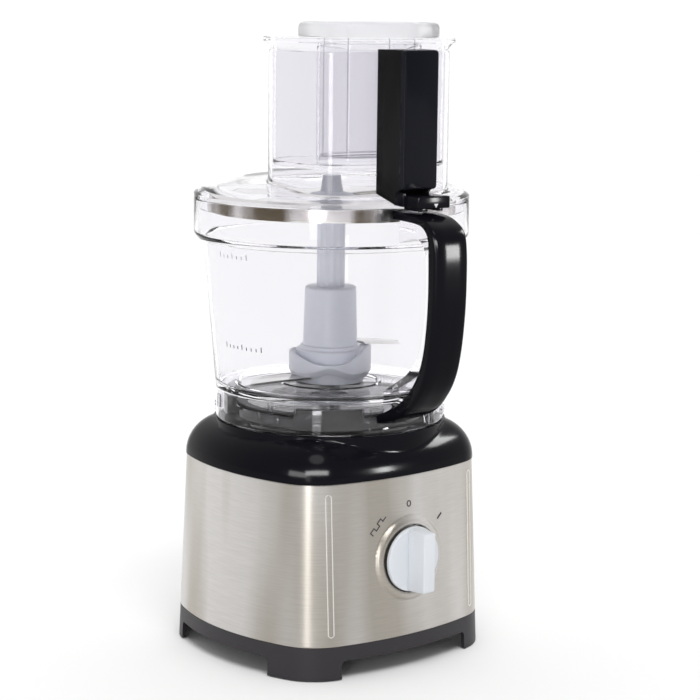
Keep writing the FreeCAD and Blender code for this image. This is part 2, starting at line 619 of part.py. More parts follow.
# ---------------------------------------------------------------- blades and disc
def blade_hub():
    """Moulded hub with a collar and a slanting flange that carries the two blades."""
    hub = turned_body([
        ("hub_bore", "hub_low"), ("collar_radius", "hub_low"), ("collar_radius", "collar_high"),
        ("hub_radius", "collar_high + 2"), ("hub_top", "hub_high - 2"), ("hub_top - 2", "hub_high"),
        ("0", "hub_high"), ("0", "bore_high"), ("hub_bore", "bore_high")], "HubShell")
    bore = hexagon("hex_bore", "hub_high - bore_high", "bore_high")
    disc = rod("60", "flange_thick")
    disc.setExpression("Placement.Base.z", None)
    tilt = Rotation(Vector(-math.sin(math.radians(39)), -math.cos(math.radians(39)), 0),
                    -size("flange_tilt"))
    disc.Placement = Placement(Vector(0, 0, size("flange_mid")), tilt)
    edge = ring("flange_radius", "hub_bore", "collar_high + 3 - hub_low", high="hub_low")
    keep("blade_hub", cut(fuse(hub, common(disc, edge)), bore, name="BladeHub"))
    keep("drive_stem", fuse(rod("stem_radius", "stem_high - hub_high", high="hub_high"),
                            hexagon("key_corner", "disc_rim_low + 6 - stem_high", "stem_high"),
                            name="DriveStem"))


def sickle(level, start, droop):
    """A curved blade that reaches out from the collar at an angle and droops, in degrees."""
    root, tip = size("collar_radius"), size("blade_tip")
    lead = Part.Arc(Vector(root - 1, -13, 0), Vector(tip * 0.68, -15, 0), Vector(tip, 6, 0)).toShape()
    trail = Part.Arc(Vector(tip, 6, 0), Vector(tip * 0.66, 3.5, 0), Vector(root - 1, 10, 0)).toShape()
    back = Part.makeLine(Vector(root - 1, 10, 0), Vector(root - 1, -13, 0))
    blade = Part.Face(Part.Wire([lead, trail, back])).extrude(Vector(0, 0, size("blade_thick")))
    blade.rotate(Vector(root, 0, 0), Vector(0, 1, 0), droop)
    blade.rotate(Vector(), Vector(0, 0, 1), start)
    blade.translate(Vector(0, 0, level))
    return blade


def blades():
    doc.recompute()
    hub = doc.getObject("BladeHub").Shape
    keep("lower_blade", solid(sickle(size("lower_blade"), 180, 0).cut(hub), "LowerBlade"))
    keep("upper_blade", solid(sickle(size("upper_blade"), 5, size("blade_droop")).cut(hub), "UpperBlade"))


def slicing_disc():
    """Steel disc with a turned-down rim and one slot, its cutter, and its moulded hub."""
    low = "disc_high - disc_thick"
    plate = turned_body([
        ("disc_hub_radius", low), ("disc_radius - disc_thick", low),
        ("disc_radius - disc_thick", "disc_rim_low"), ("disc_radius", "disc_rim_low"),
        ("disc_radius", "disc_high"), ("disc_hub_radius", "disc_high")], "DiscPlate")
    slot = box("54", "9", "4", "50", "0", "disc_high - 2")
    keep("slicing_disc", cut(plate, slot, name="SlicingDisc"))
    cutter = Part.makeBox(54, 11, 0.9, Vector(-27, -5.5, 0))
    cutter.rotate(Vector(), Vector(1, 0, 0), -8)
    cutter.translate(Vector(50, 3.4, size("disc_high") + 0.85))
    keep("disc_cutter", solid(cutter, "DiscCutter"))
    hub = turned_body([
        ("0", "stem_high"), ("disc_hub_radius - 3", "stem_high"), ("disc_hub_radius", low),
        ("disc_hub_radius", "disc_high"), ("disc_hub_radius - 3", "disc_hub_high"),
        ("stub_radius + 2", "disc_hub_high + 2"), ("stub_radius", "stub_high"), ("0", "stub_high")],
        "DiscHub")
    keep("disc_hub", cut(hub, hexagon("key_corner", "disc_rim_low + 6 - stem_high", "stem_high"),
                         name="DiscHubBored"))


# ---------------------------------------------------------------- lid, chute and pushers
def chute_plan():
    return Plan(size("chute_front"), size("chute_side"), size("chute_bulge"), size("chute_side_bulge"),
                size("chute_corner"))


def lid():
    """Clear lid with its feed chute."""
    dome_shell = turned_body([
        ("lid_inner_skirt - 1.8", "lid_skirt_low"), ("lid_inner_skirt", "lid_skirt_low"),
        ("lid_inner_skirt", "lid_low"), ("band_outer", "lid_low"), ("band_outer", "lid_edge"),
        ("lid_shoulder", "lid_shoulder_high"), ("lid_crown", "lid_high"), ("0", "lid_high"),
        ("0", "lid_high - lid_wall"), ("lid_crown - 1", "lid_high - lid_wall"),
        ("lid_shoulder - 1", "lid_shoulder_high - lid_wall"),
        ("lid_inner_skirt - 1.8", "lid_edge - 0.6")], "LidShell")
    outer = prism(chute_plan(), "chute_low", "chute_high", "-chute_off", "ChuteOutside")
    inner = prism(chute_plan().grown(-size("chute_wall")), "chute_low - 5", "chute_high + 1",
                  "-chute_off", "ChuteInside")
    keep("lid", cut(fuse(dome_shell, outer), inner, name="Lid"), turned=True)


def lock_housing():
    """Gloss housing on the front of the chute, with the latch block that locks over the handle."""
    half, flare = "box_half", "box_flare"
    body = padded_body([(f"-{half}", "-box_face"), (half, "-box_face"), (flare, "-box_back"),
                        (f"-{flare}", "-box_back")], "box_high - lid_edge", "HousingBlock")
    place(body, high="lid_edge")
    cavity = box("2 * box_half - 2 * box_wall", "box_face - box_back - 2 * box_wall",
                 "box_high - lid_high - 4 * box_wall", "0", "-(box_face + box_back) / 2",
                 "lid_high + 2 * box_wall")
    latch = box("2 * box_half", "latch_face - box_face + 2", "latch_high - latch_low", "0",
                "-(latch_face + box_face - 2) / 2", "latch_low")
    bore = rod("rod_radius + 0.5", "box_high", north="-(box_face + box_back) / 2", high="lid_high + 3")
    doc.recompute()
    housing = fuse(body, latch)
    doc.recompute()
    shape = housing.Shape.cut(lid_space()).cut(cavity.Shape).cut(bore.Shape)
    keep("lock_housing", solid(shape, "LockHousing"), turned=True)
    reach = size("latch_face")
    mark = Part.Face(Part.makePolygon([Vector(across, -reach, high) for across, high in (
        (0.6, 316.8), (3.8, 316.8), (2.2, 314.2), (0.6, 316.8))])).extrude(Vector(0, -0.4, 0))
    keep("lock_mark", solid(mark, "LockMark"), turned=True)
    middle = "-(box_face + box_back) / 2"
    stem = rod("rod_radius", "rod_high - rod_low", north=middle, high="rod_low")
    collar = rod("rod_collar", "2", north=middle, high="rod_high - 12")
    keep("lid_lock_rod", fuse(stem, collar, name="LidLockRod"), turned=True)


def lid_space():
    """The room that the lid and its chute take up."""
    edge, low = size("band_outer") + 0.01, 300
    outline = [(0, low), (edge, low), (edge, size("lid_edge")),
               (size("lid_shoulder"), size("lid_shoulder_high")),
               (size("lid_crown"), size("lid_high")), (0, size("lid_high")), (0, low)]
    face = Part.Face(Part.makePolygon([Vector(reach, 0, high) for reach, high in outline]))
    dome_part = face.revolve(Vector(), Vector(0, 0, 1), 360)
    chute = Part.Face(chute_plan().wire(low, -size("chute_off"))).extrude(Vector(0, 0, 130))
    return dome_part.fuse(chute)


def large_pusher():
    """Clear hollow pusher with a wide lip, and a small feed tube through it."""
    plan = chute_plan().grown(-size("chute_wall + pusher_gap"))
    tube = tube_plan()
    outer = prism(plan, "pusher_low", "lip_high", "-chute_off", "PusherOutside")
    inner = prism(plan.grown(-size("pusher_wall")), "pusher_low + 2.5", "lip_high + 1", "-chute_off",
                  "PusherInside")
    lip_plan = chute_plan().grown(size("lip_reach"))
    lip = prism(lip_plan, "lip_low", "lip_high", "-chute_off", "Lip")
    lip_hole = prism(plan.grown(-size("pusher_wall")), "lip_low - 1", "lip_high + 1", "-chute_off", "LipHole")
    funnel = solid(Part.makeLoft([chute_plan().grown(-1.6).wire(size("chute_high") + 0.4, -size("chute_off")),
                                  lip_plan.grown(-1.6).wire(size("lip_low"), -size("chute_off"))],
                                 True, True), "Funnel")
    wall = prism(tube, "pusher_low", "lip_high - 3", "-tube_off", "TubeOutside")
    way = prism(tube.grown(-size("pusher_wall")), "pusher_low - 1", "lip_high + 1", "-tube_off", "TubeInside")
    body = cut(fuse(outer, lip, funnel), inner, lip_hole)
    keep("large_pusher", cut(fuse(body, wall), way, name="LargePusher"), turned=True)


def tube_plan():
    return Plan(size("tube_front"), size("tube_side"), 120, 80, size("tube_corner"))


def small_pusher():
    """Frosted cup that slides in the small feed tube."""
    plan = tube_plan().grown(-size("pusher_wall + pusher_gap"))
    stalk = prism(plan, "small_low", "cap_low + 1", "-tube_off", "StalkOutside")
    hollow = prism(plan.grown(-size("pusher_wall")), "small_low + 2", "cap_high + 1", "-tube_off",
                   "StalkInside")
    cap = Plan(size("cap_front"), size("cap_side"), 110, 90, size("cap_corner"))
    shape = Part.Face(cap.wire(size("cap_low"), -size("tube_off"))).extrude(
        Vector(0, 0, size("cap_high") - size("cap_low")))
    top = [edge for edge in shape.Edges if min(vertex.Z for vertex in edge.Vertexes) > size("cap_high") - 0.1]
    cap_shape = solid(shape.makeFillet(3.5, top), "Cap")
    keep("small_pusher", cut(fuse(stalk, cap_shape), hollow, name="SmallPusher"), turned=True)


def build():
    steel_band()
    upper_housing()
    base_skirt()
    rubber_feet()
    dial()
    rotary_switch()
    motor_plate()
    bearings()
    motor()
    armature()
    spindle()
    drive_belt()
    base_details()
    bowl()
    handle()
    blade_hub()
    blades()
    slicing_disc()
    lid()
    lock_housing()
    large_pusher()
    small_pusher()
    doc.recompute()


def check_and_export():
    for thing in doc.Objects:
        if "Invalid" in thing.State or "Error" in thing.State:
            raise RuntimeError(f"{thing.Name} ({thing.Label}) failed: {thing.State}")
    os.makedirs("parts", exist_ok=True)
    for node in nodes:
        if node.Shape.isNull() or not node.Shape.isValid() or not node.Shape.Solids:
            raise RuntimeError(f"{node.Label} has no valid shape")
        node.Shape.exportStep(f"parts/{node.Label}.step")


build()
check_and_export()
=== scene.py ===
"""Looks of the food processor: fine meshes, materials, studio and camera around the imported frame.

Lengths in the tables are millimetres and become metres in mesh_piece(). The bowl, its handle, the lid
and the pushers are drawn with the handle on -Y and turned about Z by HANDLE_TURN.
"""
import json
import math

import bmesh
import bpy
from mathutils import Matrix, Vector

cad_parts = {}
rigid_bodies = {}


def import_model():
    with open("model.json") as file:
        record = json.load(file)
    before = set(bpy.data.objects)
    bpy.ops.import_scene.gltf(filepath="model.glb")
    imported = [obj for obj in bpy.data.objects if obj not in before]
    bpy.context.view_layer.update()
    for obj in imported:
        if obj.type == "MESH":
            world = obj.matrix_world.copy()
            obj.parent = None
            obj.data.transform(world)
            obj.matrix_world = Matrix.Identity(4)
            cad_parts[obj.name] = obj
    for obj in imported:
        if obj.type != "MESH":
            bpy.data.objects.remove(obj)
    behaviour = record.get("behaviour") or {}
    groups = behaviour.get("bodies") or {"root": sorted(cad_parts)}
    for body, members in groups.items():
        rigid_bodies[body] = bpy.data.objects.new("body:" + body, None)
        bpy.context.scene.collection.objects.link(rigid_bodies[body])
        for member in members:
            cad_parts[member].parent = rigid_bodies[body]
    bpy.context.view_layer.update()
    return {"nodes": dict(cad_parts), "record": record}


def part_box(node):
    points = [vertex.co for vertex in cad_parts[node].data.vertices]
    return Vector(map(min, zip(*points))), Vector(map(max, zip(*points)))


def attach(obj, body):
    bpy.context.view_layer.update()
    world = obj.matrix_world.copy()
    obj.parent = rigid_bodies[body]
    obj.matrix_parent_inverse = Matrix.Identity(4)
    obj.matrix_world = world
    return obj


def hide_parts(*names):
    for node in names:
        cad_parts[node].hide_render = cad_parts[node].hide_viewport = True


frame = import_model()

HANDLE_TURN = -6.0
SMOOTH_ANGLE = 32.0


def low(node):
    """The node's lowest corner, in millimetres."""
    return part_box(node)[0] * 1000


def high(node):
    """The node's highest corner, in millimetres."""
    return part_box(node)[1] * 1000


def clear_defaults():
    """Removes any light that the start file brings."""
    for light in list(bpy.data.lights):
        bpy.data.lights.remove(light)


# ---------------------------------------------------------------- outlines
class Plan:
    """A rounded square with bulged sides: wide arcs joined by tangent corner arcs."""

    def __init__(self, front, side, front_bulge, side_bulge, corner):
        self.sizes = (front, side, front_bulge, side_bulge, corner)
        self.front_centre = Vector((0, front_bulge - front))
        self.side_centre = Vector((side - side_bulge, 0))
        self.corner_centre = meeting(self.front_centre, front_bulge - corner,
                                     self.side_centre, side_bulge - corner)
        self.front_bulge, self.side_bulge, self.corner = front_bulge, side_bulge, corner
        to_front = self.corner_centre - self.front_centre
        to_side = self.corner_centre - self.side_centre
        self.front_angle = math.atan2(to_front.x, -to_front.y)
        self.side_angle = math.atan2(-to_side.y, to_side.x)

    def grown(self, distance):
        """The same outline, moved outwards by a distance."""
        return Plan(*(number + distance for number in self.sizes))

    def at(self, arc, share):
        """A point and its outward normal on the quarter between the front's and the side's middle."""
        if arc == "front":
            angle = share * self.front_angle
            normal = Vector((math.sin(angle), -math.cos(angle)))
            return self.front_centre + normal * self.front_bulge, normal
        if arc == "corner":
            start, end = self.front_angle, math.pi / 2 - self.side_angle
            angle = start + share * (end - start)
            normal = Vector((math.sin(angle), -math.cos(angle)))
            return self.corner_centre + normal * self.corner, normal
        angle = self.side_angle * (1 - share)
        normal = Vector((math.cos(angle), -math.sin(angle)))
        return self.side_centre + normal * self.side_bulge, normal


def meeting(first, first_radius, second, second_radius):
    """Where two circles meet, on the +X, -Y side."""
    apart = second - first
    span = apart.length
    along = (first_radius ** 2 - second_radius ** 2 + span ** 2) / (2 * span)
    aside = math.sqrt(first_radius ** 2 - along ** 2)
    unit = apart.normalized()
    across = Vector((-unit.y, unit.x))
    points = [first + unit * along + across * side * aside for side in (1, -1)]
    return max(points, key=lambda spot: spot.x - spot.y)


FRONT_STATIONS, CORNER_STATIONS, SIDE_STATIONS = 10, 14, 9


def quarter_stations():
    """Stations on a quarter of an outline, from the middle of its front to the middle of its side."""
    return ([("front", number / FRONT_STATIONS) for number in range(FRONT_STATIONS)]
            + [("corner", number / CORNER_STATIONS) for number in range(CORNER_STATIONS)]
            + [("side", number / SIDE_STATIONS) for number in range(SIDE_STATIONS + 1)])


def around(near, far):
    """Stations all the way round as (arc, share, x sign, y sign): near ones on -Y, far ones on +Y."""
    ring = [(arc, share, 1, 1) for arc, share in near]
    ring += [(arc, share, 1, -1) for arc, share in reversed(far[:-1])]
    ring += [(arc, share, -1, -1) for arc, share in far[1:]]
    ring += [(arc, share, -1, 1) for arc, share in reversed(near[1:-1])]
    return ring


ROUND = around(quarter_stations(), quarter_stations())


def outline(plan, level, north=0.0, places=ROUND):
    """A ring of points on the outline at a height."""
    ring = []
    for arc, share, east, south in places:
        spot, _ = plan.at(arc, share)
        ring.append(Vector((east * spot.x, south * spot.y + north, level)))
    return ring


def spot_at(reach, turn, level):
    """A point at a distance from the axis, at an angle in radians and a height."""
    return Vector((reach * math.cos(turn), reach * math.sin(turn), level))


def reach_of(spot):
    """A point's distance from the axis."""
    return math.hypot(spot.x, spot.y)


def circle(radius, level, count):
    """A ring of points on a circle, anticlockwise from -Y."""
    turns = [2 * math.pi * number / count - math.pi / 2 for number in range(count)]
    return [spot_at(radius, turn, level) for turn in turns]


NEARLY_STRAIGHT = math.radians(178)
EDGE_SHARE = 0.45


def softened(profile, radius, steps=4):
    """A closed profile with arcs at its corners, from (reach, level) pairs or (reach, level, radius)."""
    points = [Vector(corner[:2]) for corner in profile]
    radii = [corner[2] if len(corner) > 2 else radius for corner in profile]
    out = []
    for number, spot in enumerate(points):
        back = points[number - 1] - spot
        ahead = points[(number + 1) % len(points)] - spot
        bend = back.angle(ahead)
        if bend > NEARLY_STRAIGHT or radii[number] <= 0:
            out.append(spot)
            continue
        reach = min(radii[number] / math.tan(bend / 2), EDGE_SHARE * back.length,
                    EDGE_SHARE * ahead.length)
        start = spot + back.normalized() * reach
        end = spot + ahead.normalized() * reach
        for step in range(steps + 1):
            share = step / steps
            first = start.lerp(spot, share)
            second = spot.lerp(end, share)
            out.append(first.lerp(second, share))
    return out


# ---------------------------------------------------------------- meshes
GLOSS_PARTS = bpy.data.collections.new("gloss_parts")
MERGE_DISTANCE = 1e-7
ON_AXIS = 1e-4


def mesh_piece(name, points, faces, body, material, slot, nodes=(), turned=False):
    """A finished piece from points in millimetres: smooth shading with crisp edges."""
    mesh = bpy.data.meshes.new(name)
    mesh.from_pydata([Vector(spot) * 0.001 for spot in points], [], faces)
    if turned:
        mesh.transform(Matrix.Rotation(math.radians(HANDLE_TURN), 4, "Z"))
    tool = bmesh.new()
    tool.from_mesh(mesh)
    bmesh.ops.remove_doubles(tool, verts=tool.verts, dist=MERGE_DISTANCE)
    bmesh.ops.recalc_face_normals(tool, faces=tool.faces)
    tool.to_mesh(mesh)
    tool.free()
    mesh.shade_smooth()
    mesh.set_sharp_from_angle(angle=math.radians(SMOOTH_ANGLE))
    mesh.materials.append(material)
    piece = bpy.data.objects.new(name, mesh)
    bpy.context.scene.collection.objects.link(piece)
    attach(piece, body)
    if nodes:
        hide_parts(*nodes)
    return piece


def loft(rings, loop=True):
    """A skin through rings of equal count: a closed tube, or without a loop one capped at its ends."""
    count = len(rings[0])
    points = [spot for ring in rings for spot in ring]
    faces = []
    spans = len(rings) if loop else len(rings) - 1
    for number in range(spans):
        here, there = number * count, (number + 1) % len(rings) * count
        for step in range(count):
            after = (step + 1) % count
            faces.append((here + step, here + after, there + after, there + step))
    if not loop:
        last = (len(rings) - 1) * count
        faces.append(tuple(range(count - 1, -1, -1)))
        faces.append(tuple(range(last, last + count)))
    return points, faces


def lathe(profile, count=192, loop=True):
    """A turned skin from a profile of (reach, level) pairs; without a loop its ends lie on the axis."""
    return loft([circle(spot[0], spot[1], count) for spot in profile if loop or spot[0] > ON_AXIS], loop)


def joined(*skins):
    """Several skins as one list of points and faces."""
    points, faces = [], []
    for more_points, more_faces in skins:
        start = len(points)
        points += list(more_points)
        faces += [tuple(index + start for index in face) for face in more_faces]
    return points, faces


def block(corner, opposite, bevel):
    """A box between two corners with rounded edges, as a skin."""
    tool = bmesh.new()
    bmesh.ops.create_cube(tool, size=1.0)
    corner, opposite = Vector(corner), Vector(opposite)
    for vert in tool.verts:
        vert.co = Vector([corner[axis] + (vert.co[axis] + 0.5) * (opposite[axis] - corner[axis])
                          for axis in range(3)])
    return bevelled(tool, bevel)


def bevelled(tool, bevel):
    """Rounds a bmesh's edges and gives its skin."""
    bmesh.ops.bevel(tool, geom=list(tool.edges), offset=bevel, segments=3, profile=0.5, affect="EDGES")
    return skin_of(tool)


def skin_of(tool):
    """The points and faces of a bmesh, which is freed."""
    points = [vert.co.copy() for vert in tool.verts]
    tool.verts.index_update()
    faces = [tuple(vert.index for vert in face.verts) for face in tool.faces]
    tool.free()
    return points, faces


def prism(ring, depth):
    """A skin from a flat ring of points pushed along a vector."""
    tool = bmesh.new()
    face = tool.faces.new([tool.verts.new(spot) for spot in ring])
    moved = bmesh.ops.extrude_face_region(tool, geom=[face])["geom"]
    bmesh.ops.translate(tool, vec=Vector(depth),
                        verts=[part for part in moved if isinstance(part, bmesh.types.BMVert)])
    return skin_of(tool)


# ---------------------------------------------------------------- materials
def material(name, colour, roughness, **settings):
    """A Principled material with constant values on the shader's own sockets."""
    made = bpy.data.materials.new(name)
    made.use_nodes = True
    shader = made.node_tree.nodes["Principled BSDF"]
    shader.inputs["Base Color"].default_value = (*colour, 1)
    shader.inputs["Roughness"].default_value = roughness
    for key, value in settings.items():
        shader.inputs[key.replace("_", " ").title().replace("Ior", "IOR")].default_value = value
    return made


EVEN = (1, 1, 1)
FINE_RELIEF = 0.0001


def add_grain(made, scale, strength, stretch=EVEN, distance=FINE_RELIEF, detail=4.0):
    """Fine relief from noise, stretched along an axis if asked; gives the noise."""
    tree = made.node_tree
    coordinates = tree.nodes.new("ShaderNodeTexCoord")
    mapping = tree.nodes.new("ShaderNodeMapping")
    mapping.inputs["Scale"].default_value = stretch
    noise = tree.nodes.new("ShaderNodeTexNoise")
    noise.inputs["Scale"].default_value = scale
    noise.inputs["Detail"].default_value = detail
    bump = tree.nodes.new("ShaderNodeBump")
    bump.inputs["Strength"].default_value = strength
    bump.inputs["Distance"].default_value = distance
    tree.links.new(coordinates.outputs["Object"], mapping.inputs["Vector"])
    tree.links.new(mapping.outputs["Vector"], noise.inputs["Vector"])
    tree.links.new(noise.outputs["Fac"], bump.inputs["Height"])
    tree.links.new(bump.outputs["Normal"], tree.nodes["Principled BSDF"].inputs["Normal"])
    return noise


def grained(name, colour, roughness, scale, strength, grain=None, **settings):
    """A material with a fine grain of a scale and strength; grain holds its other settings."""
    made = material(name, colour, roughness, **settings)
    add_grain(made, scale, strength, **(grain or {}))
    return made


def ramp(tree, source, darkest, lightest, first=0.3, last=0.7):
    """A colour ramp fed by another node's output."""
    made = tree.nodes.new("ShaderNodeValToRGB")
    made.color_ramp.elements[0].position = first
    made.color_ramp.elements[1].position = last
    made.color_ramp.elements[0].color = (*darkest, 1)
    made.color_ramp.elements[1].color = (*lightest, 1)
    tree.links.new(source, made.inputs["Fac"])
    return made


def vary(made, noise, socket, darkest, lightest):
    """Ties a socket to noise through a ramp."""
    tree = made.node_tree
    tones = ramp(tree, noise.outputs["Fac"], darkest, lightest)
    tree.links.new(tones.outputs["Color"], tree.nodes["Principled BSDF"].inputs[socket])


BRUSHING_SCALE = 60
STREAK_SQUEEZE = (1, 1, 0.12)


def paint_reflection_streaks(made, noise, darkest, lightest, scale):
    """Ties the base colour to upright streaks of painted reflection, with the brushing's strokes over
    them.
    """
    tree = made.node_tree
    tones = tree.nodes.new("ShaderNodeTexNoise")
    tones.inputs["Scale"].default_value = scale
    tones.inputs["Detail"].default_value = 1.5
    squeeze = tree.nodes.new("ShaderNodeMapping")
    squeeze.inputs["Scale"].default_value = STREAK_SQUEEZE
    source = tree.nodes.new("ShaderNodeTexCoord")
    tree.links.new(source.outputs["Object"], squeeze.inputs["Vector"])
    tree.links.new(squeeze.outputs["Vector"], tones.inputs["Vector"])
    reflection_tone = ramp(tree, tones.outputs["Fac"], darkest, lightest, 0.39, 0.61)
    strokes = ramp(tree, noise.outputs["Fac"], (0.9, 0.9, 0.9), (1, 1, 1), 0.35, 0.65)
    blend = tree.nodes.new("ShaderNodeMix")
    blend.data_type, blend.blend_type = "RGBA", "MULTIPLY"
    blend.inputs["Factor"].default_value = 1
    tree.links.new(reflection_tone.outputs["Color"], blend.inputs["A"])
    tree.links.new(strokes.outputs["Color"], blend.inputs["B"])
    tree.links.new(blend.outputs["Result"], tree.nodes["Principled BSDF"].inputs["Base Color"])


def brushed(name, colour, roughness, along=(1, 1, 30), strength=0.1, reflection_streaks=None, **settings):
    """Steel with fine brushing, and upright streaks of painted reflection as (darkest, lightest, scale)
    if given.
    """
    made = material(name, colour, roughness, metallic=1.0, **settings)
    noise = add_grain(made, BRUSHING_SCALE, strength, along, detail=8)
    if reflection_streaks:
        paint_reflection_streaks(made, noise, *reflection_streaks)
    else:
        vary(made, noise, "Base Color", tuple(channel * 0.9 for channel in colour), colour)
    vary(made, noise, "Roughness", (roughness * 0.85,) * 3, (roughness * 1.15,) * 3)
    if settings.get("anisotropic"):
        tree = made.node_tree
        tangent = tree.nodes.new("ShaderNodeTangent")
        tangent.direction_type, tangent.axis = "RADIAL", "Z"
        tree.links.new(tangent.outputs["Tangent"], tree.nodes["Principled BSDF"].inputs["Tangent"])
    return made


# The front steel's upright streaks in its base colour are painted reflection, placed at random.
STEEL = brushed("brushed_steel", (0.54, 0.515, 0.475), 0.36,
                anisotropic=0.75, anisotropic_rotation=0.25, along=(1, 1, 25),
                reflection_streaks=((0.47, 0.435, 0.385), (0.66, 0.64, 0.62), 26))
# A lighter copy of the steel that paints the highlight along the ribs' edges.
PAINTED_HIGHLIGHT_BEAD = brushed("painted_highlight_bead", (0.9, 0.88, 0.85), 0.42)
BLADE = brushed("blade_steel", (0.75, 0.74, 0.72), 0.16, (60, 60, 1), 0.05)
# A polished rim whose streaks, from dark brown to near white, are painted reflection.
RIM_PAINTED_REFLECTION = brushed("rim_steel_painted_reflection", (0.62, 0.60, 0.56), 0.22, EVEN, 0.02,
              reflection_streaks=((0.12, 0.09, 0.05), (0.85, 0.83, 0.8), 48))
MACHINED = brushed("machined_steel", (0.55, 0.55, 0.57), 0.25, (1, 1, 40), 0.05)
ZINC = brushed("zinc_steel", (0.5, 0.5, 0.52), 0.42, (6, 6, 6), 0.08)
CORE = brushed("core_steel", (0.2, 0.2, 0.22), 0.5, (1, 1, 200), 0.3)
COPPER = grained("copper", (0.62, 0.24, 0.1), 0.35, 20, 0.4,
                 {"stretch": (1, 1, 60), "distance": 0.0004}, metallic=0.8)
GLOSS = grained("gloss_black", (0.0008, 0.0008, 0.0012), 0.15, 60, 0.02, specular_ior_level=0.05)
TURRET = grained("turret_plastic", (0.005, 0.004, 0.003), 0.03, 60, 0.02, specular_ior_level=0.8)
PANEL = grained("panel_plastic", (0.006, 0.0065, 0.0105), 0.16, 60, 0.03, specular_ior_level=0.1)
SATIN_BLACK = grained("satin_black", (0.004, 0.004, 0.0045), 0.26, 900, 0.06, specular_ior_level=0.15)
SKIRT = grained("dark_grey_plastic", (0.030, 0.027, 0.031), 0.45, 1400, 0.12, specular_ior_level=0.3)
BLUE_GREY = grained("light_grey_plastic", (0.75, 0.77, 0.84), 0.32, 900, 0.04)
KNOB = grained("knob_plastic", (0.73, 0.76, 0.80), 0.3, 900, 0.04)
# The clear plastics have one slow ripple. The veils are thin and partly see-through, and stand for
# walls that lie behind too many others for light to cross.
RIPPLE = {"detail": 0}
CLEAR = grained("clear_plastic", (0.945, 0.94, 0.957), 0.01, 9, 0.008, RIPPLE, transmission_weight=1.0,
                ior=1.1, coat_weight=0.16, coat_roughness=0.02)
# A grey-lavender veil whose colour paints the shade lines that clear edges show.
VEIL_SHADE_LINES = grained("veil_painted_shade_lines", (0.72, 0.71, 0.78), 0.2, 9, 0.01, RIPPLE, alpha=0.25)
VEIL = grained("veil_plastic", (0.9, 0.9, 0.93), 0.1, 9, 0.01, RIPPLE, alpha=0.02)
FROSTED = grained("frosted_plastic", (0.97, 0.97, 0.985), 0.28, 700, 0.05, transmission_weight=0.93,
                  ior=1.25)
RUBBER = grained("rubber", (0.02, 0.02, 0.02), 0.8, 800, 0.2, {"distance": 0.0002})
BLACK = grained("black_plastic", (0.015, 0.015, 0.016), 0.45, 900, 0.1)
BOARD = grained("board_green", (0.02, 0.13, 0.05), 0.4, 200, 0.1)
BELT = grained("belt_rubber", (0.015, 0.015, 0.015), 0.7, 14, 0.5,
               {"stretch": (1, 1, 60), "distance": 0.0005})
MARK = grained("white_mark", (0.85, 0.85, 0.85), 0.5, 900, 0.05)
FAINT_PRINT = grained("faint_print", (0.55, 0.55, 0.58), 0.5, 900, 0.05)
PRINT = grained("printed_grey", (0.045, 0.045, 0.05), 0.5, 900, 0.05)

SLOT_MATERIALS = {
    "brushed_steel": STEEL, "blade_steel": BLADE, "gloss_black": GLOSS, "dark_grey_plastic": SKIRT,
    "light_grey_plastic": BLUE_GREY, "clear_plastic": CLEAR, "frosted_plastic": FROSTED,
    "white_mark": MARK, "rubber": RUBBER, "machined_steel": MACHINED, "zinc_steel": ZINC,
    "core_steel": CORE, "copper": COPPER, "board_green": BOARD, "belt_rubber": BELT,
    "black_plastic": BLACK,
}


def dress_nodes():
    """Every CAD node gets the material of its slot."""
    slots = {part["node"]: part["material_slot"] for part in frame["record"]["subparts"]}
    for name, node in frame["nodes"].items():
        node.data.materials.clear()
        node.data.materials.append(SLOT_MATERIALS[slots[name]])
        node.data.shade_smooth()
        node.data.set_sharp_from_angle(angle=math.radians(SMOOTH_ANGLE))


# ---------------------------------------------------------------- base
STEEL_LOW, STEEL_HIGH = low("steel_band").z, high("steel_band").z
DIAL = (low("dial_knob") + high("dial_knob")) / 2
BAND_LOW = Plan(89, 94.5, 230, 165, 37)
BAND_HIGH = Plan(84, 90, 230, 165, 34)
RIB_PLACE, RIB_HALF, RIB_PROUD, RIB_INSET = 62.0, 2.1, 0.25, 6.5
RIB_EDGE, RIB_LINE = 0.42, RIB_HALF - 0.3
BEZEL_IN, BEZEL_OUT, BEZEL_PROUD = 22.6, 29.0, 2.8


def band_plan(level):
    """The base's outline at a height."""
    share = (level - STEEL_LOW) / (STEEL_HIGH - STEEL_LOW)
    return Plan(*(below + share * (above - below)
                  for below, above in zip(BAND_LOW.sizes, BAND_HIGH.sizes)))


def ease(value):
    """Goes from 0 to 1 with a level start and end."""
    value = min(max(value, 0.0), 1.0)
    return value * value * (3 - 2 * value)


def relief(east, level):
    """How far the steel front stands out: two round-ended beads and the dial's raised ring."""
    inner_low = STEEL_LOW + RIB_INSET + RIB_HALF
    inner_high = STEEL_HIGH - RIB_INSET - RIB_HALF
    beyond = max(inner_low - level, level - inner_high, 0.0)
    bead = RIB_HALF - math.hypot(abs(east) - RIB_PLACE, beyond)
    reach = math.hypot(east, level - DIAL.z)
    across = (reach - BEZEL_IN) / (BEZEL_OUT - BEZEL_IN)
    swell = math.sin(math.pi * (0.25 + 0.75 * across)) if 0 < across < 1 else 0.0
    return RIB_PROUD * ease(bead / RIB_EDGE) + BEZEL_PROUD * swell


def steps(start, stop, gap):
    """Evenly spaced numbers from start up to, but not at, stop."""
    count = max(1, round((stop - start) / gap))
    return [start + (stop - start) * number / count for number in range(count)]


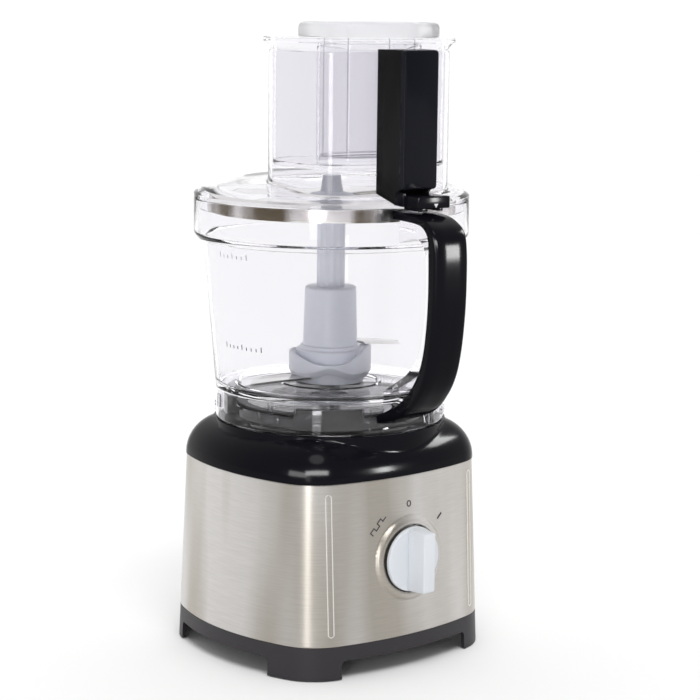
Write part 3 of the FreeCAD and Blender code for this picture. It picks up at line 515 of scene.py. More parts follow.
def steel_band():
    """Wrap with its beads and ring in relief, folded edges and an inner face."""
    wall, edge, fold = 1.0, 0.5, 0.3
    near = [("front", share) for share in steps(0, 0.58, 0.011) + steps(0.58, 0.93, 0.05)
            + steps(0.93, 1, 0.0036)]
    near += [("corner", share) for share in steps(0, 0.17, 0.005) + steps(0.17, 1, 0.05)]
    near += [("side", share) for share in steps(0, 1, 0.12) + [1.0]]
    places = around(near, quarter_stations())
    bottom, top = STEEL_LOW + edge, STEEL_HIGH - edge
    rib_end, dial_zone = RIB_INSET + 2 * RIB_HALF, BEZEL_OUT + 2
    levels = (steps(bottom, STEEL_LOW + rib_end, 0.5) + steps(STEEL_LOW + rib_end, DIAL.z - dial_zone, 3)
              + steps(DIAL.z - dial_zone, DIAL.z + dial_zone, 0.8)
              + steps(DIAL.z + dial_zone, STEEL_HIGH - rib_end, 3)
              + steps(STEEL_HIGH - rib_end, top, 0.5) + [top])
    rings = [band_ring(level, places) for level in levels]
    high_plan, low_plan = band_plan(STEEL_HIGH), band_plan(STEEL_LOW)
    for plan, level in ((high_plan.grown(-fold), STEEL_HIGH), (high_plan.grown(-wall), STEEL_HIGH),
                        (low_plan.grown(-wall), STEEL_LOW), (low_plan.grown(-fold), STEEL_LOW)):
        rings.append(outline(plan, level, places=places))
    mesh_piece("steel_wrap", *loft(rings), "base", STEEL, "brushed_steel", ["steel_band"])


def band_ring(level, places):
    """The band's outline at a height, with the relief on its front."""
    plan = band_plan(level)
    ring = []
    for arc, share, east, south in places:
        spot, normal = plan.at(arc, share)
        if south > 0:
            spot = spot + normal * relief(spot.x, level)
        ring.append(Vector((east * spot.x, south * spot.y, level)))
    return ring


RING_RADIUS, RING_HIGH, TURRET_RADIUS, TURRET_HIGH = 80.0, 160.0, 68.0, 170.0
SPINDLE_HOLE = 13
BLOCK_REACH, BLOCK_LOW, BLOCK_HIGH, BLOCK_START, BLOCK_SPAN = 73.0, 162.0, 177.0, -148, 37


def upper_housing():
    """Gloss shoulder that flows from the square band to the round ring, with the turret above it."""
    rise, shrink, wall, sill, inset, count = 28.0, 30.0, 2.5, 0.6, 12, 26
    lip = BAND_HIGH.grown(0.5)
    rings = [outline(lip.grown(-wall), STEEL_HIGH), outline(lip, STEEL_HIGH),
             outline(lip, STEEL_HIGH + sill)]
    for number in range(1, count + 1):
        angle = math.radians(80 * number / count)
        level = STEEL_HIGH + sill + (rise - sill) * math.sin(angle)
        plan_ring = outline(lip.grown(-shrink * (1 - math.cos(angle))), level)
        rings.append([pushed_out(spot, RING_RADIUS) for spot in plan_ring])
    outer = [(RING_RADIUS, RING_HIGH - 0.9), (RING_RADIUS - 0.3, RING_HIGH - 0.25),
             (RING_RADIUS - 1, RING_HIGH), (TURRET_RADIUS + 1.5, RING_HIGH),
             (TURRET_RADIUS, RING_HIGH + 1.2), (TURRET_RADIUS, TURRET_HIGH - 1),
             (TURRET_RADIUS - 1, TURRET_HIGH), (SPINDLE_HOLE, TURRET_HIGH),
             (SPINDLE_HOLE, TURRET_HIGH - wall), (TURRET_RADIUS - wall, TURRET_HIGH - wall),
             (TURRET_RADIUS - wall, RING_HIGH - wall), (RING_RADIUS - wall - inset, RING_HIGH - wall)]
    for reach, level in outer:
        rings.append([spot.normalized() * reach + Vector((0, 0, level)) for spot in flat(rings[3])])
    rings.append(outline(lip.grown(-wall - inset), STEEL_HIGH + inset))
    shell = mesh_piece("housing_shell", *loft(rings), "base", GLOSS, "gloss_black", ["upper_housing"])
    shell.data.materials.append(TURRET)
    for face in shell.data.polygons:
        if face.center.z > (RING_HIGH + 0.5) * 0.001:
            face.material_index = 1
    blocks = [arc_block(BLOCK_START + quarter * 90, BLOCK_SPAN, TURRET_RADIUS - 1, BLOCK_REACH,
                        BLOCK_LOW, BLOCK_HIGH, 0.8) for quarter in range(4)]
    mesh_piece("turret_blocks", *joined(*blocks), "base", TURRET, "gloss_black")


def arc_block(start, span, inner, outer, low_level, high_level, soft):
    """A piece of a round wall between two angles, with softened long edges."""
    section = softened([(inner, low_level), (outer, low_level), (outer, high_level),
                        (inner, high_level)], soft)
    count = max(2, round(abs(span) / 2))
    rings = []
    for number in range(count + 1):
        turn = math.radians(start + span * number / count)
        rings.append([spot_at(spot.x, turn, spot.y) for spot in section])
    return loft(rings, loop=False)


def flat(ring):
    """The ring's points brought down to height 0."""
    return [Vector((spot.x, spot.y, 0)) for spot in ring]


def pushed_out(spot, radius):
    """The point, moved out to a radius about Z if it lies inside it."""
    reach = reach_of(spot)
    if reach >= radius:
        return spot
    return Vector((spot.x * radius / reach, spot.y * radius / reach, spot.z))


DIAL_THICK, DIAL_RADIUS, GRIP_PROUD, GRIP_REACH = 3.2, 22.0, 16.2, 21.2


def dial():
    """Knob disc with a bevelled upright grip."""
    face = -high("dial_knob").y
    profile = softened([(0, face), (DIAL_RADIUS, face), (DIAL_RADIUS, face + DIAL_THICK),
                        (0, face + DIAL_THICK)], 1.0)
    points, faces = lathe(profile, 128, loop=False)
    tip = Matrix.Rotation(math.radians(90), 4, "X")
    disc = [tip @ Vector(spot) + Vector((0, 0, DIAL.z)) for spot in points], faces
    tool = bmesh.new()
    corners = []
    base, front = face + DIAL_THICK - 0.4, face + DIAL_THICK + GRIP_PROUD - 0.5
    for out, half, tall in ((base, 5.9, GRIP_REACH), (base + GRIP_PROUD * 0.3, 5.3, GRIP_REACH),
                            (front, 5.0, GRIP_REACH - 1.2)):
        corners.append([tool.verts.new((east * half, -out, DIAL.z + up * tall))
                        for east, up in ((-1, -1), (1, -1), (1, 1), (-1, 1))])
    for here, there in zip(corners, corners[1:]):
        for step in range(4):
            tool.faces.new((here[step], here[(step + 1) % 4], there[(step + 1) % 4], there[step]))
    tool.faces.new(reversed(corners[0]))
    tool.faces.new(corners[-1])
    grip = bevelled(tool, 1.3)
    mesh_piece("dial_grip", *joined(disc, grip), "dial", KNOB, "light_grey_plastic", ["dial_knob"])


def rib_path(place):
    """The rounded outline of the rib at a sideways place, as (east, level) pairs."""
    low_end, high_end = STEEL_LOW + RIB_INSET + RIB_HALF, STEEL_HIGH - RIB_INSET - RIB_HALF
    round_steps, side_steps = 24, 40
    path = []
    for centre, other, first in ((high_end, low_end, 0), (low_end, high_end, math.pi)):
        for step in range(round_steps + 1):
            turn = first + math.pi * step / round_steps
            path.append((place + RIB_LINE * math.cos(turn), centre + RIB_LINE * math.sin(turn)))
        side = place + RIB_LINE * math.cos(first + math.pi)
        path += [(side, centre + (other - centre) * step / side_steps) for step in range(1, side_steps)]
    return path


def rib_outlines():
    """Rolled edge round each upright rib, in lighter steel that paints its bright highlight."""
    sides = 8
    skins = []
    for place in (-RIB_PLACE, RIB_PLACE):
        path = rib_path(place)
        rings = []
        for number, (east, level) in enumerate(path):
            before, after = path[number - 1], path[(number + 1) % len(path)]
            along = Vector((after[0] - before[0], 0, after[1] - before[1])).normalized()
            across = Vector((along.z, 0, -along.x))
            middle = Vector((east, -front_at(band_plan(level), east) - RIB_PROUD + 0.1, level))
            rings.append([middle + across * RIB_EDGE * math.cos(2 * math.pi * side / sides)
                          + Vector((0, -RIB_EDGE * math.sin(2 * math.pi * side / sides), 0))
                          for side in range(sides)])
        skins.append(loft(rings))
    mesh_piece("rib_outlines", *joined(*skins), "base", PAINTED_HIGHLIGHT_BEAD, "brushed_steel")


MARK_LINE = 0.8
OFF_WIDE, OFF_TALL = 1.9, 2.3
PULSE_STEP, PULSE_RISE = 4, 1.7


def flat_mark(name, strokes, angle, reach):
    """Printed strokes on the steel, at an angle and a distance from the dial's centre."""
    turn = (Matrix.Translation((0, 0, DIAL.z)) @ Matrix.Rotation(math.radians(angle), 4, "Y")
            @ Matrix.Translation((0, 0, reach)))
    points, faces = joined(*[prism([Vector((east, 0, up)) for east, up in ring], (0, -0.12, 0))
                             for ring in strokes])
    placed = []
    for spot in points:
        spot = turn @ spot
        plan = band_plan(spot.z)
        placed.append(Vector((spot.x, spot.y - front_at(plan, spot.x) - 0.02, spot.z)))
    mesh_piece(name, placed, faces, "base", PRINT, "black_plastic")


def bar(east, up, wide, tall):
    """The corners of an upright rectangle round a middle."""
    return [(east - wide / 2, up - tall / 2), (east + wide / 2, up - tall / 2),
            (east + wide / 2, up + tall / 2), (east - wide / 2, up + tall / 2)]


def dial_marks():
    """Printed symbols round the dial: a ring for off, a bar for on and a pulse train on the left."""
    count = 28
    ring = []
    for number in range(count):
        first, second = (2 * math.pi * step / count for step in (number, number + 1))
        corners = ((first, 0), (second, 0), (second, MARK_LINE), (first, MARK_LINE))
        ring.append([((OFF_WIDE - line) * math.cos(turn), (OFF_TALL - line) * math.sin(turn))
                     for turn, line in corners])
    flat_mark("mark_off", ring, 0, 37)
    flat_mark("mark_on", [bar(0, 0, 1.3, 5.4)], 50, 37.5)
    train = []
    for number in range(4):
        east = -6 + number * PULSE_STEP
        train.append(bar(east, 0, MARK_LINE, 2 * PULSE_RISE))
        middle = PULSE_RISE - MARK_LINE / 2 if number % 2 == 0 else MARK_LINE / 2 - PULSE_RISE
        train.append(bar(east + PULSE_STEP / 2, middle, PULSE_STEP - MARK_LINE, MARK_LINE))
    flat_mark("mark_pulse", train, -48, 36.5)


def front_at(plan, east):
    """How far the outline's front stands before the axis at a sideways place."""
    centre, bulge = plan.front_centre, plan.front_bulge
    reach = -(centre.y - math.sqrt(bulge ** 2 - east ** 2))
    if abs(east) <= bulge * math.sin(plan.front_angle):
        return reach
    corner = plan.corner_centre
    return -(corner.y - math.sqrt(plan.corner ** 2 - (abs(east) - corner.x) ** 2))


# ---------------------------------------------------------------- bowl
BOWL_LOW, BOWL_HIGH = low("bowl").z, high("bowl").z
FLOOR_LOW, FLOOR_HIGH = 181.0, 183.4
SKIRT_OUT, SKIRT_IN = 78.8, 76.7
BAND_RADIUS, WALL_REACH, BAND_START = 94.0, 87.5, 284.0
TUBE_OUT, TUBE_IN, TUBE_HIGH = 14, 11.5, 236
SKIRT_RIB_PROUD, SKIRT_RIB_SUNK = 1.0, 0.4


def floor_ridge(outer):
    """A low round ridge on the bowl's floor, from its outer edge inwards."""
    return [(outer, FLOOR_HIGH, 0.4), (outer - 1, FLOOR_HIGH + 1, 0.4),
            (outer - 3, FLOOR_HIGH + 1, 0.4), (outer - 4, FLOOR_HIGH, 0.4)]


def bowl():
    """Clear bowl turned in one piece: rounded rim band, tapered wall, ringed floor, tube and skirt."""
    profile = softened([
        (SKIRT_IN, BOWL_LOW, 0.6), (SKIRT_OUT, BOWL_LOW, 0.6), (SKIRT_OUT, FLOOR_LOW - 1, 2),
        (WALL_REACH, BAND_START - 1.6, 2.2), (BAND_RADIUS - 3, BAND_START - 0.4, 1.6),
        (BAND_RADIUS, BAND_START + 3.2, 2.6), (BAND_RADIUS, BOWL_HIGH, 0.8),
        (BAND_RADIUS - 2, BOWL_HIGH, 0.8), (BAND_RADIUS - 2, BAND_START + 3.8, 2),
        (WALL_REACH - 1.8, BAND_START + 1.6, 2), (SKIRT_OUT - 1.6, FLOOR_HIGH + 3, 3),
        (SKIRT_OUT - 5, FLOOR_HIGH, 2.5), *floor_ridge(66), *floor_ridge(36),
        (TUBE_OUT, FLOOR_HIGH, 0.8), (TUBE_OUT, TUBE_HIGH, 0.8), (TUBE_IN, TUBE_HIGH, 0.8),
        (TUBE_IN, FLOOR_LOW, 0.4), (SKIRT_IN, FLOOR_LOW, 1)], 0.5)
    mesh_piece("bowl_shell", *lathe(profile), "bowl", CLEAR, "clear_plastic", ["bowl"], turned=True)


def skirt_rib(start, end, low_level, high_level, lean=0.0):
    """A thin strip that follows the skirt between two azimuths; its foot may lean aside."""
    count = max(2, int(abs(end - start) / 1.5) + 1)
    inner, outer = SKIRT_OUT - SKIRT_RIB_SUNK, SKIRT_OUT + SKIRT_RIB_PROUD
    rings = []
    for number in range(count + 1):
        turn = math.radians(start + (end - start) * number / count - HANDLE_TURN)
        foot = math.radians(lean) + turn
        rings.append([spot_at(inner, foot, low_level), spot_at(outer, foot, low_level),
                      spot_at(outer, turn, high_level), spot_at(inner, turn, high_level)])
    return loft(rings, loop=False)


def skirt_ribs():
    """Bayonet pockets and stiffening ribs on the clear skirt, the same in each quarter."""
    top, foot, wide = FLOOR_LOW + 0.5, BOWL_LOW + 1, 0.6
    skins = []
    for shift in (0, 90, 180, 270):
        skins.append(skirt_rib(-166.8 + shift, -166.0 + shift, foot + 2, 173.5, lean=2.6))
        for azimuth in (-160.4, -158.4, -146.4, -144.4):
            skins.append(skirt_rib(azimuth + shift, azimuth + wide + shift, foot, top))
        skins.append(skirt_rib(-144.2 + shift, -131.0 + shift, 167.4, 168.2))
        skins.append(skirt_rib(-144.8 + shift, -132.3 + shift, 165.0, 165.7))
        for azimuth in (-131.4, -133.0):
            skins.append(skirt_rib(azimuth + shift, azimuth + wide + shift, foot, 167.6))
        skins.append(skirt_rib(-113.2 + shift, -109.6 + shift, 169.4, 178))
        skins.append(skirt_rib(-109.6 + shift, -109.1 + shift, foot, 178))
    mesh_piece("skirt_ribs", *joined(*skins), "bowl", CLEAR, "clear_plastic", turned=True)


def bowl_marks():
    """Two rows of plain graduation ticks on the left of the bowl."""
    slope = (WALL_REACH - SKIRT_OUT) / (BAND_START - FLOOR_LOW)
    first, apart, short, long = -187, 3, 2.2, 3.6
    for name, level, count, long_every, ink in (("bowl_ticks", 214, 9, 4, PRINT),
                                                ("bowl_ticks_high", 275, 7, 3, FAINT_PRINT)):
        skins = []
        for number in range(count):
            turn = math.radians(first + number * apart - HANDLE_TURN)
            tall = short if number % long_every else long
            reach = SKIRT_OUT + slope * (level - FLOOR_LOW) + 0.12
            wide = 0.35 / reach
            ring = [spot_at(reach + slope * up, turn + side * wide, level + up)
                    for side, up in ((-1, 0), (1, 0), (1, tall), (-1, tall))]
            skins.append(prism(ring, spot_at(-0.1, turn, 0)))
        mesh_piece(name, *joined(*skins), "bowl", ink, "clear_plastic", turned=True)


# The handle's side curves as (distance from the axis, level) pairs, from its top to its foot.
COVER_OUTER = [(92, 311), (116, 309.6), (127, 306.6), (136.5, 300.5), (140, 288), (140.4, 264),
               (139.2, 244), (136.4, 224), (131.5, 206), (123, 192), (108, 178.5), (76.5, 167)]
COVER_INNER = [(92, 305.2), (116, 304.4), (125, 302.2), (130.2, 296), (131.2, 285), (131.6, 262),
               (130.6, 243), (127.6, 223), (122.6, 209), (114, 196.5), (100, 184.5), (76.5, 173.2)]
CORE_INNER = [(92, 289.5), (108, 293.5), (117.5, 291), (121.2, 280), (122, 262), (121, 244),
              (117.5, 226), (110.5, 213), (100, 203), (77, 190)]


CURVE_STEPS = 24


def curve_points(points, count):
    """Evenly spaced points on a smooth curve through the given ones."""
    spots = [Vector(pair) for pair in points]
    spots = [spots[0] * 2 - spots[1]] + spots + [spots[-1] * 2 - spots[-2]]
    fine = []
    for number in range(1, len(spots) - 2):
        before, here, after, later = spots[number - 1:number + 3]
        for step in range(CURVE_STEPS):
            share = step / CURVE_STEPS
            fine.append(0.5 * (2 * here + (after - before) * share
                               + (2 * before - 5 * here + 4 * after - later) * share ** 2
                               + (3 * here - before - 3 * after + later) * share ** 3))
    fine.append(spots[-2])
    run = [0.0]
    for first, second in zip(fine, fine[1:]):
        run.append(run[-1] + (second - first).length)
    result, place = [], 0
    for number in range(count + 1):
        target = run[-1] * number / count
        while place < len(run) - 2 and run[place + 1] < target:
            place += 1
        share = (target - run[place]) / (run[place + 1] - run[place])
        result.append(fine[place].lerp(fine[place + 1], min(max(share, 0), 1)))
    return result


def side_loft(outer, inner, section):
    """A bar between two side curves; section gives (across, share from inner to outer) pairs."""
    count = 90
    rings = []
    for out, into in zip(curve_points(outer, count), curve_points(inner, count)):
        spots = [(across, into.lerp(out, share)) for across, share in section]
        rings.append([Vector((across, -spot.x, spot.y)) for across, spot in spots])
    return loft(rings, loop=False)


def rounded_section(half, inner_round, outer_round, depth, crown):
    """A rounded rectangle as (across, share) pairs; crown bows its outer face."""
    crown_round = 30
    corners = softened([(-half, 0, inner_round), (half, 0, inner_round),
                        (half, depth - crown, outer_round), (half * 0.5, depth, crown_round),
                        (-half * 0.5, depth, crown_round), (-half, depth - crown, outer_round)],
                       1.0, steps=6)
    return [(spot.x, spot.y / depth) for spot in corners]


def handle():
    """Gloss cover with a bowed back and the clear core inside its grip."""
    cover = side_loft(COVER_OUTER, COVER_INNER, rounded_section(13, 0.8, 3.2, 9, 1.0))
    mesh_piece("handle_shell", *cover, "bowl", GLOSS, "gloss_black", ["handle_cover"], turned=True)
    core = side_loft(COVER_INNER, CORE_INNER, rounded_section(8, 0.8, 2.5, 9, 0.5))
    mesh_piece("handle_web", *core, "bowl", CLEAR, "clear_plastic", ["handle_core"], turned=True)


# ---------------------------------------------------------------- blades and disc
HUB_HIGH, HUB_ROOF, HUB_BORE = 250, 238, 15
KNURLS, KNURL_LOW, KNURL_TALL = 60, 190, 14.5


def blade_hub():
    """Hub with a soft top edge, a knurled collar and a slanting flange."""
    base = low("blade_hub").z
    profile = softened([(0, HUB_HIGH, 0), (17.6, HUB_HIGH, 2.0), (18.8, 209.6, 0.4), (20.6, 209.2, 0.4),
                        (20.8, 207, 0.6), (23.5, 206.6, 1.2), (23.5, base, 0.6), (HUB_BORE, base, 0.5),
                        (HUB_BORE, HUB_ROOF, 0.5), (0, HUB_ROOF, 0)], 0.6)
    hub = lathe(profile, 160, loop=False)
    mesh_piece("hub_shell", *hub, "blade_assembly", BLUE_GREY, "light_grey_plastic", ["blade_hub"])
    lines = []
    up = Vector((0, 0, KNURL_TALL))
    for number in range(KNURLS):
        turn = 2 * math.pi * number / KNURLS
        side = spot_at(0.35, turn + math.pi / 2, 0)
        spot = spot_at(23.3, turn, KNURL_LOW)
        ring = [spot - side, spot + side, spot + side + up, spot - side + up]
        lines.append(prism(ring, spot_at(0.45, turn, 0)))
    mesh_piece("collar_knurl", *joined(*lines), "blade_assembly", BLUE_GREY, "light_grey_plastic")
    flange()


EAR_TURN = math.radians(-39.3)
EAR_RISE, FAR_EAR_RISE = 10.4, 6.6
FLANGE_DIP, FLANGE_FOOT = 198.4, 187.4


def flange():
    """A skirt round the collar that rises in two ears, one opposite the other, and dips between them."""
    rings = []
    count = 180
    for number in range(count):
        turn = 2 * math.pi * number / count
        facing = math.cos(turn - EAR_TURN)
        crest = FLANGE_DIP + (EAR_RISE if facing > 0 else FAR_EAR_RISE) * ease(abs(facing) ** 1.5)
        lower = FLANGE_FOOT + 4.5 * (1 - ease(abs(facing) * 1.6))
        section = softened([(23.2, lower, 0), (25.6, lower, 1.2), (28.4, lower + 4.6, 2.0),
                            (28.4, crest, 0.7), (26.9, crest, 0.7), (26.4, crest - 1.2, 0.6),
                            (23.2, crest - 2.4, 0)], 1.0)
        rings.append([spot_at(spot.x, turn, spot.y) for spot in section])
    mesh_piece("hub_flange", *loft(rings), "blade_assembly", BLUE_GREY, "light_grey_plastic")


def drive_stem():
    """Fluted stem between the hub and the disc, with a plain round end."""
    flutes, count, neck, end = 12, 120, 6, 308
    top = high("drive_stem").z - 12
    rings = []
    for level in (HUB_HIGH, top):
        turns = [2 * math.pi * number / count for number in range(count)]
        rings.append([spot_at(9.4 + 0.35 * math.cos(turn * flutes), turn, level) for turn in turns])
    round_end = softened([(0, top, 0), (neck, top, 0), (neck, end, 0.5), (0, end, 0)], 0.3)
    skin = joined(loft(rings, loop=False), lathe(round_end, 64, loop=False))
    mesh_piece("stem", *skin, "blade_assembly", BLUE_GREY, "light_grey_plastic", ["drive_stem"])


def sickle(name, node, level, start, droop):
    """A curved blade with a ground edge that bends towards its tip."""
    root, tip, thick, rows = 22.8, 73.0, 1.5, 26
    rings = []
    turn = Matrix.Rotation(math.radians(start), 4, "Z")
    for number in range(rows + 1):
        share = number / rows
        reach = root + (tip - root) * share
        lead = -13 - 5 * math.sin(math.pi * share * 0.8) + 21 * share ** 3.2
        trail = max(10 - 5.5 * share - 1.5 * math.sin(math.pi * share), lead + 0.4)
        under = level + droop * share ** 1.5
        rings.append([turn @ Vector((reach, across, height)) for across, height in
                      ((lead, under), (min(lead + 4, trail), under + thick),
                       (trail, under + thick), (trail, under))])
    mesh_piece(name, *loft(rings, loop=False), "blade_assembly", BLADE, "blade_steel", [node])


def disc_band():
    """Polished band round the slicing disc's rim, its streaks painted reflection; the disc itself stays
    as the frame has it.
    """
    inner, outer, lift = 84.7, 85.05, 0.1
    base, top = low("slicing_disc").z + lift, high("slicing_disc").z + lift
    profile = softened([(inner, base), (outer, base), (outer, top), (inner, top)], 0.12)
    mesh_piece("disc_band", *lathe(profile), "blade_assembly", RIM_PAINTED_REFLECTION, "blade_steel")


# ---------------------------------------------------------------- lid and pushers
LID_HIGH, LID_SINK, LID_UNDER, LID_THICK = 325.0, 6, 316, 2.4
DOME_START, DOME_END, DOME_SPAN, RIM_SLOPE = 60, 86, 30, 0.58
CHUTE = Plan(47, 59.5, 140, 95, 34)
CHUTE_OFF, CHUTE_HIGH, CHUTE_WALL = -32.0, 411.5, 2.5


def lid_level(reach):
    """The height of the lid's upper face at a distance from the axis: flat, domed, then sloping."""
    drop = LID_SINK * ease((min(reach, DOME_END) - DOME_START) / DOME_SPAN)
    return LID_HIGH - drop - RIM_SLOPE * max(reach - DOME_END, 0)


def on_lid(spot, shift):
    """The point, moved to a distance above the lid's upper face."""
    return Vector((spot.x, spot.y, lid_level(reach_of(spot)) + shift))


def lid():
    """Clear domed lid with a rolled edge that flows into the feed chute."""
    rim, seat, curb, lip = 93.0, 90, 2.5, 0.6
    base = outline(CHUTE, 0, CHUTE_OFF)
    inner = CHUTE.grown(-CHUTE_WALL)
    mouth = ((inner, CHUTE_HIGH - lip), (inner.grown(lip), CHUTE_HIGH),
             (CHUTE.grown(-lip), CHUTE_HIGH), (CHUTE, CHUTE_HIGH - lip))
    rings = [outline(plan, level, CHUTE_OFF) for plan, level in mouth]
    rings.append([on_lid(spot, curb) for spot in base])
    for share in (0.012, 0.03, 0.08, 0.16, 0.28, 0.4, 0.52, 0.64, 0.76, 0.88, 1.0):
        raised = curb * max(0.0, 1 - share / 0.03) ** 2
        rings.append([on_lid(spot.lerp(spot.normalized() * rim, share), raised) for spot in base])
    under = [(94, 314.2), (94, 312.2), (93.4, 311.5), (91.4, 311.4), (91.4, 304.4), (91, 304),
             (seat, 304), (89.6, 304.4), (89.6, 313)]
    for reach, level in under:
        rings.append([spot.normalized() * reach + Vector((0, 0, level)) for spot in base])
    for share in (0.96, 0.8, 0.6, 0.4, 0.2, 0.05):
        rings.append([on_lid(spot.lerp(spot.normalized() * seat, share), -LID_THICK) for spot in base])
    rings += [outline(CHUTE, LID_UNDER, CHUTE_OFF), outline(inner, LID_UNDER, CHUTE_OFF)]
    mesh_piece("lid_shell", *loft(rings), "lid", CLEAR, "clear_plastic", ["lid"], turned=True)


BOX_FACE, BOX_BACK, BOX_HIGH = 103.5, 79.4, 413.5


def lock_housing():
    """Gloss panel with rounded corners on a satin body, its foot over the lid's dome, and the latch."""
    foot, panel_half, panel_low, panel_depth = 95.5, 13.5, 324.6, 5
    body = [[on_lid(spot, 0.7) for spot in level_ring(0, foot)]]
    for level, face in ((321.5, 96), (323, 97), (325, BOX_FACE - 3), (BOX_HIGH - 1, BOX_FACE - 3),
                        (BOX_HIGH, BOX_FACE - 4)):
        body.append(level_ring(level, face))
    mesh_piece("housing_body", *loft(body, loop=False), "lid", SATIN_BLACK, "gloss_black",
               ["lock_housing"], turned=True)
    panel = softened([(-panel_half, panel_low), (panel_half, panel_low), (panel_half, BOX_HIGH),
                      (-panel_half, BOX_HIGH)], 2.8, steps=8)
    face = rounded_face(panel, panel_depth - BOX_FACE, panel_depth, 1.1)
    mesh_piece("housing_panel", *face, "lid", PANEL, "gloss_black", turned=True)
    latch = joined(block((-11.5, -118, 313.6), (13.5, -95, 321.5), 0.9),
                   block((-13.5, -104, 314.2), (-11, -93, 323), 0.6),
                   block((-9.5, -116.5, 311.9), (-3, -99, 314), 0.5),
                   block((5, -116.5, 311.9), (9, -99, 314), 0.5))
    mesh_piece("latch_block", *latch, "lid", GLOSS, "gloss_black", turned=True)
    tab = softened([(-9, 412), (1, 412), (1, 416.6), (-9, 416.6)], 1.4, steps=5)
    skin = prism([Vector((spot.x, -84.5, spot.y)) for spot in tab], (0, 1.4, 0))
    mesh_piece("chute_tab", *skin, "lid", CLEAR, "clear_plastic", turned=True)


def rounded_face(ring, start, depth, edge):
    """An upright plate with a rounded front edge, from a closed ring of (across, level) pairs."""
    middle = sum(ring, Vector((0, 0))) / len(ring)
    rings = []
    for shift, inset in ((0, 0), (depth - edge, 0), (depth - edge * 0.6, edge * 0.15),
                         (depth - edge * 0.25, edge * 0.45), (depth, edge)):
        row = []
        for spot in ring:
            away = spot - middle
            row.append(Vector((middle.x + math.copysign(max(abs(away.x) - inset, 0), away.x),
                               start - shift,
                               middle.y + math.copysign(max(abs(away.y) - inset, 0), away.y))))
        rings.append(row)
    return loft(rings, loop=False)


def level_ring(level, face):
    """The housing body's outline at a height: narrow in front, flared at the chute."""
    half, flare = 13.2, 18.0
    ring = softened([(-half, -face, 2.5), (half, -face, 2.5), (flare, -BOX_BACK, 0.3),
                     (-flare, -BOX_BACK, 0.3)], 1.0, steps=5)
    return [Vector((spot[0], spot[1], level)) for spot in ring]


PUSHER_GAP, PUSHER_WALL, PUSHER_FLOOR = 0.8, 2.0, 2.5
TUBE = Plan(24, 34, 120, 80, 16)
TUBE_OFF = -43.0


def large_pusher():
    """Clear hollow pusher with a wide lip over a flared neck, a floor and its own small tube."""
    top = high("large_pusher").z
    base = low("large_pusher").z
    body = CHUTE.grown(-CHUTE_WALL - PUSHER_GAP)
    lip = CHUTE.grown(3.6)
    inside = body.grown(-PUSHER_WALL)
    outer = [(body.grown(-1), base), (body, base + 1), (body, 411.9), (CHUTE.grown(-1.6), 412.1),
             (CHUTE.grown(-0.4), 413.5), (CHUTE.grown(1.6), 416), (CHUTE.grown(1.8), 417),
             (lip.grown(-0.5), 417), (lip, 417.5), (lip, top - 0.5), (lip.grown(-0.5), top),
             (inside.grown(0.6), top), (inside, top - 0.6), (inside, base + 3.2),
             (inside.grown(-0.8), base + PUSHER_FLOOR)]
    rings = [outline(plan, level, CHUTE_OFF) for plan, level in outer]
    tube_top = top - 3
    hole = TUBE.grown(-PUSHER_WALL)
    tube = ((TUBE, base + PUSHER_FLOOR), (TUBE, tube_top - 0.5), (TUBE.grown(-0.5), tube_top),
            (hole.grown(0.5), tube_top), (hole, tube_top - 0.5), (hole, base))
    rings += [outline(plan, level, TUBE_OFF) for plan, level in tube]
    mesh_piece("large_pusher_shell", *loft(rings), "large_pusher", CLEAR, "clear_plastic",
               ["large_pusher"], turned=True)


def small_pusher():
    """Frosted cap rim on a clear hollow body that hangs in the small tube."""
    top, base, cap_low = high("small_pusher").z, low("small_pusher").z, 420.4
    stalk = TUBE.grown(-PUSHER_WALL - PUSHER_GAP)
    cap = Plan(35, 47, 110, 90, 27)
    hole = stalk.grown(-PUSHER_WALL)
    rows = [(stalk.grown(0.1), cap_low), (cap.grown(-0.8), cap_low), (cap, cap_low + 0.8),
            (cap, top - 3.2), (cap.grown(-0.5), top - 1.6), (cap.grown(-1.6), top - 0.5),
            (cap.grown(-3.2), top), (stalk.grown(2.5), top), (stalk.grown(1.2), top - 0.6),
            (stalk.grown(0.1), top - 2)]
    skin = loft([outline(plan, level, TUBE_OFF) for plan, level in rows])
    mesh_piece("small_pusher_cap", *skin, "small_pusher", FROSTED, "frosted_plastic",
               ["small_pusher"], turned=True)
    rows = [(stalk.grown(-1), base), (stalk, base + 1), (stalk, top - 2.2), (hole, top - 2.2),
            (hole, base + 2)]
    skin = loft([outline(plan, level, TUBE_OFF) for plan, level in rows], loop=False)
    mesh_piece("small_pusher_body", *skin, "small_pusher", VEIL, "frosted_plastic", turned=True)
    ring = outline(hole.grown(0.4), 0, TUBE_OFF)
    bars = []
    for spot in ring[len(ring) // 8::len(ring) // 4]:
        bars.append(block((spot.x - 0.4, spot.y - 0.4, base + 0.4),
                          (spot.x + 0.4, spot.y + 0.4, top - 3), 0.15))
    rows = [(stalk.grown(-0.2), base + 0.3), (stalk.grown(0.1), base + 1.5),
            (stalk.grown(-1), base + 1.5), (stalk.grown(-1.2), base + 0.3)]
    foot = loft([outline(plan, level, TUBE_OFF) for plan, level in rows])
    # The ribs and foot draw painted shade lines seen through the chute.
    mesh_piece("small_pusher_ribs", *joined(foot, *bars), "small_pusher", VEIL_SHADE_LINES,
               "frosted_plastic", turned=True)


# ---------------------------------------------------------------- studio
def floor():
    """A plain pale floor that reaches far beyond the view."""
    tool = bmesh.new()
    bmesh.ops.create_grid(tool, x_segments=1, y_segments=1, size=40)
    mesh = bpy.data.meshes.new("floor")
    tool.to_mesh(mesh)
    tool.free()
    mesh.materials.append(grained("pale_floor", (0.93, 0.93, 0.93), 0.8, 30, 0.01,
                                  {"distance": 0.0005}, specular_ior_level=0.1))
    ground = bpy.data.objects.new("floor", mesh)
    bpy.context.scene.collection.objects.link(ground)


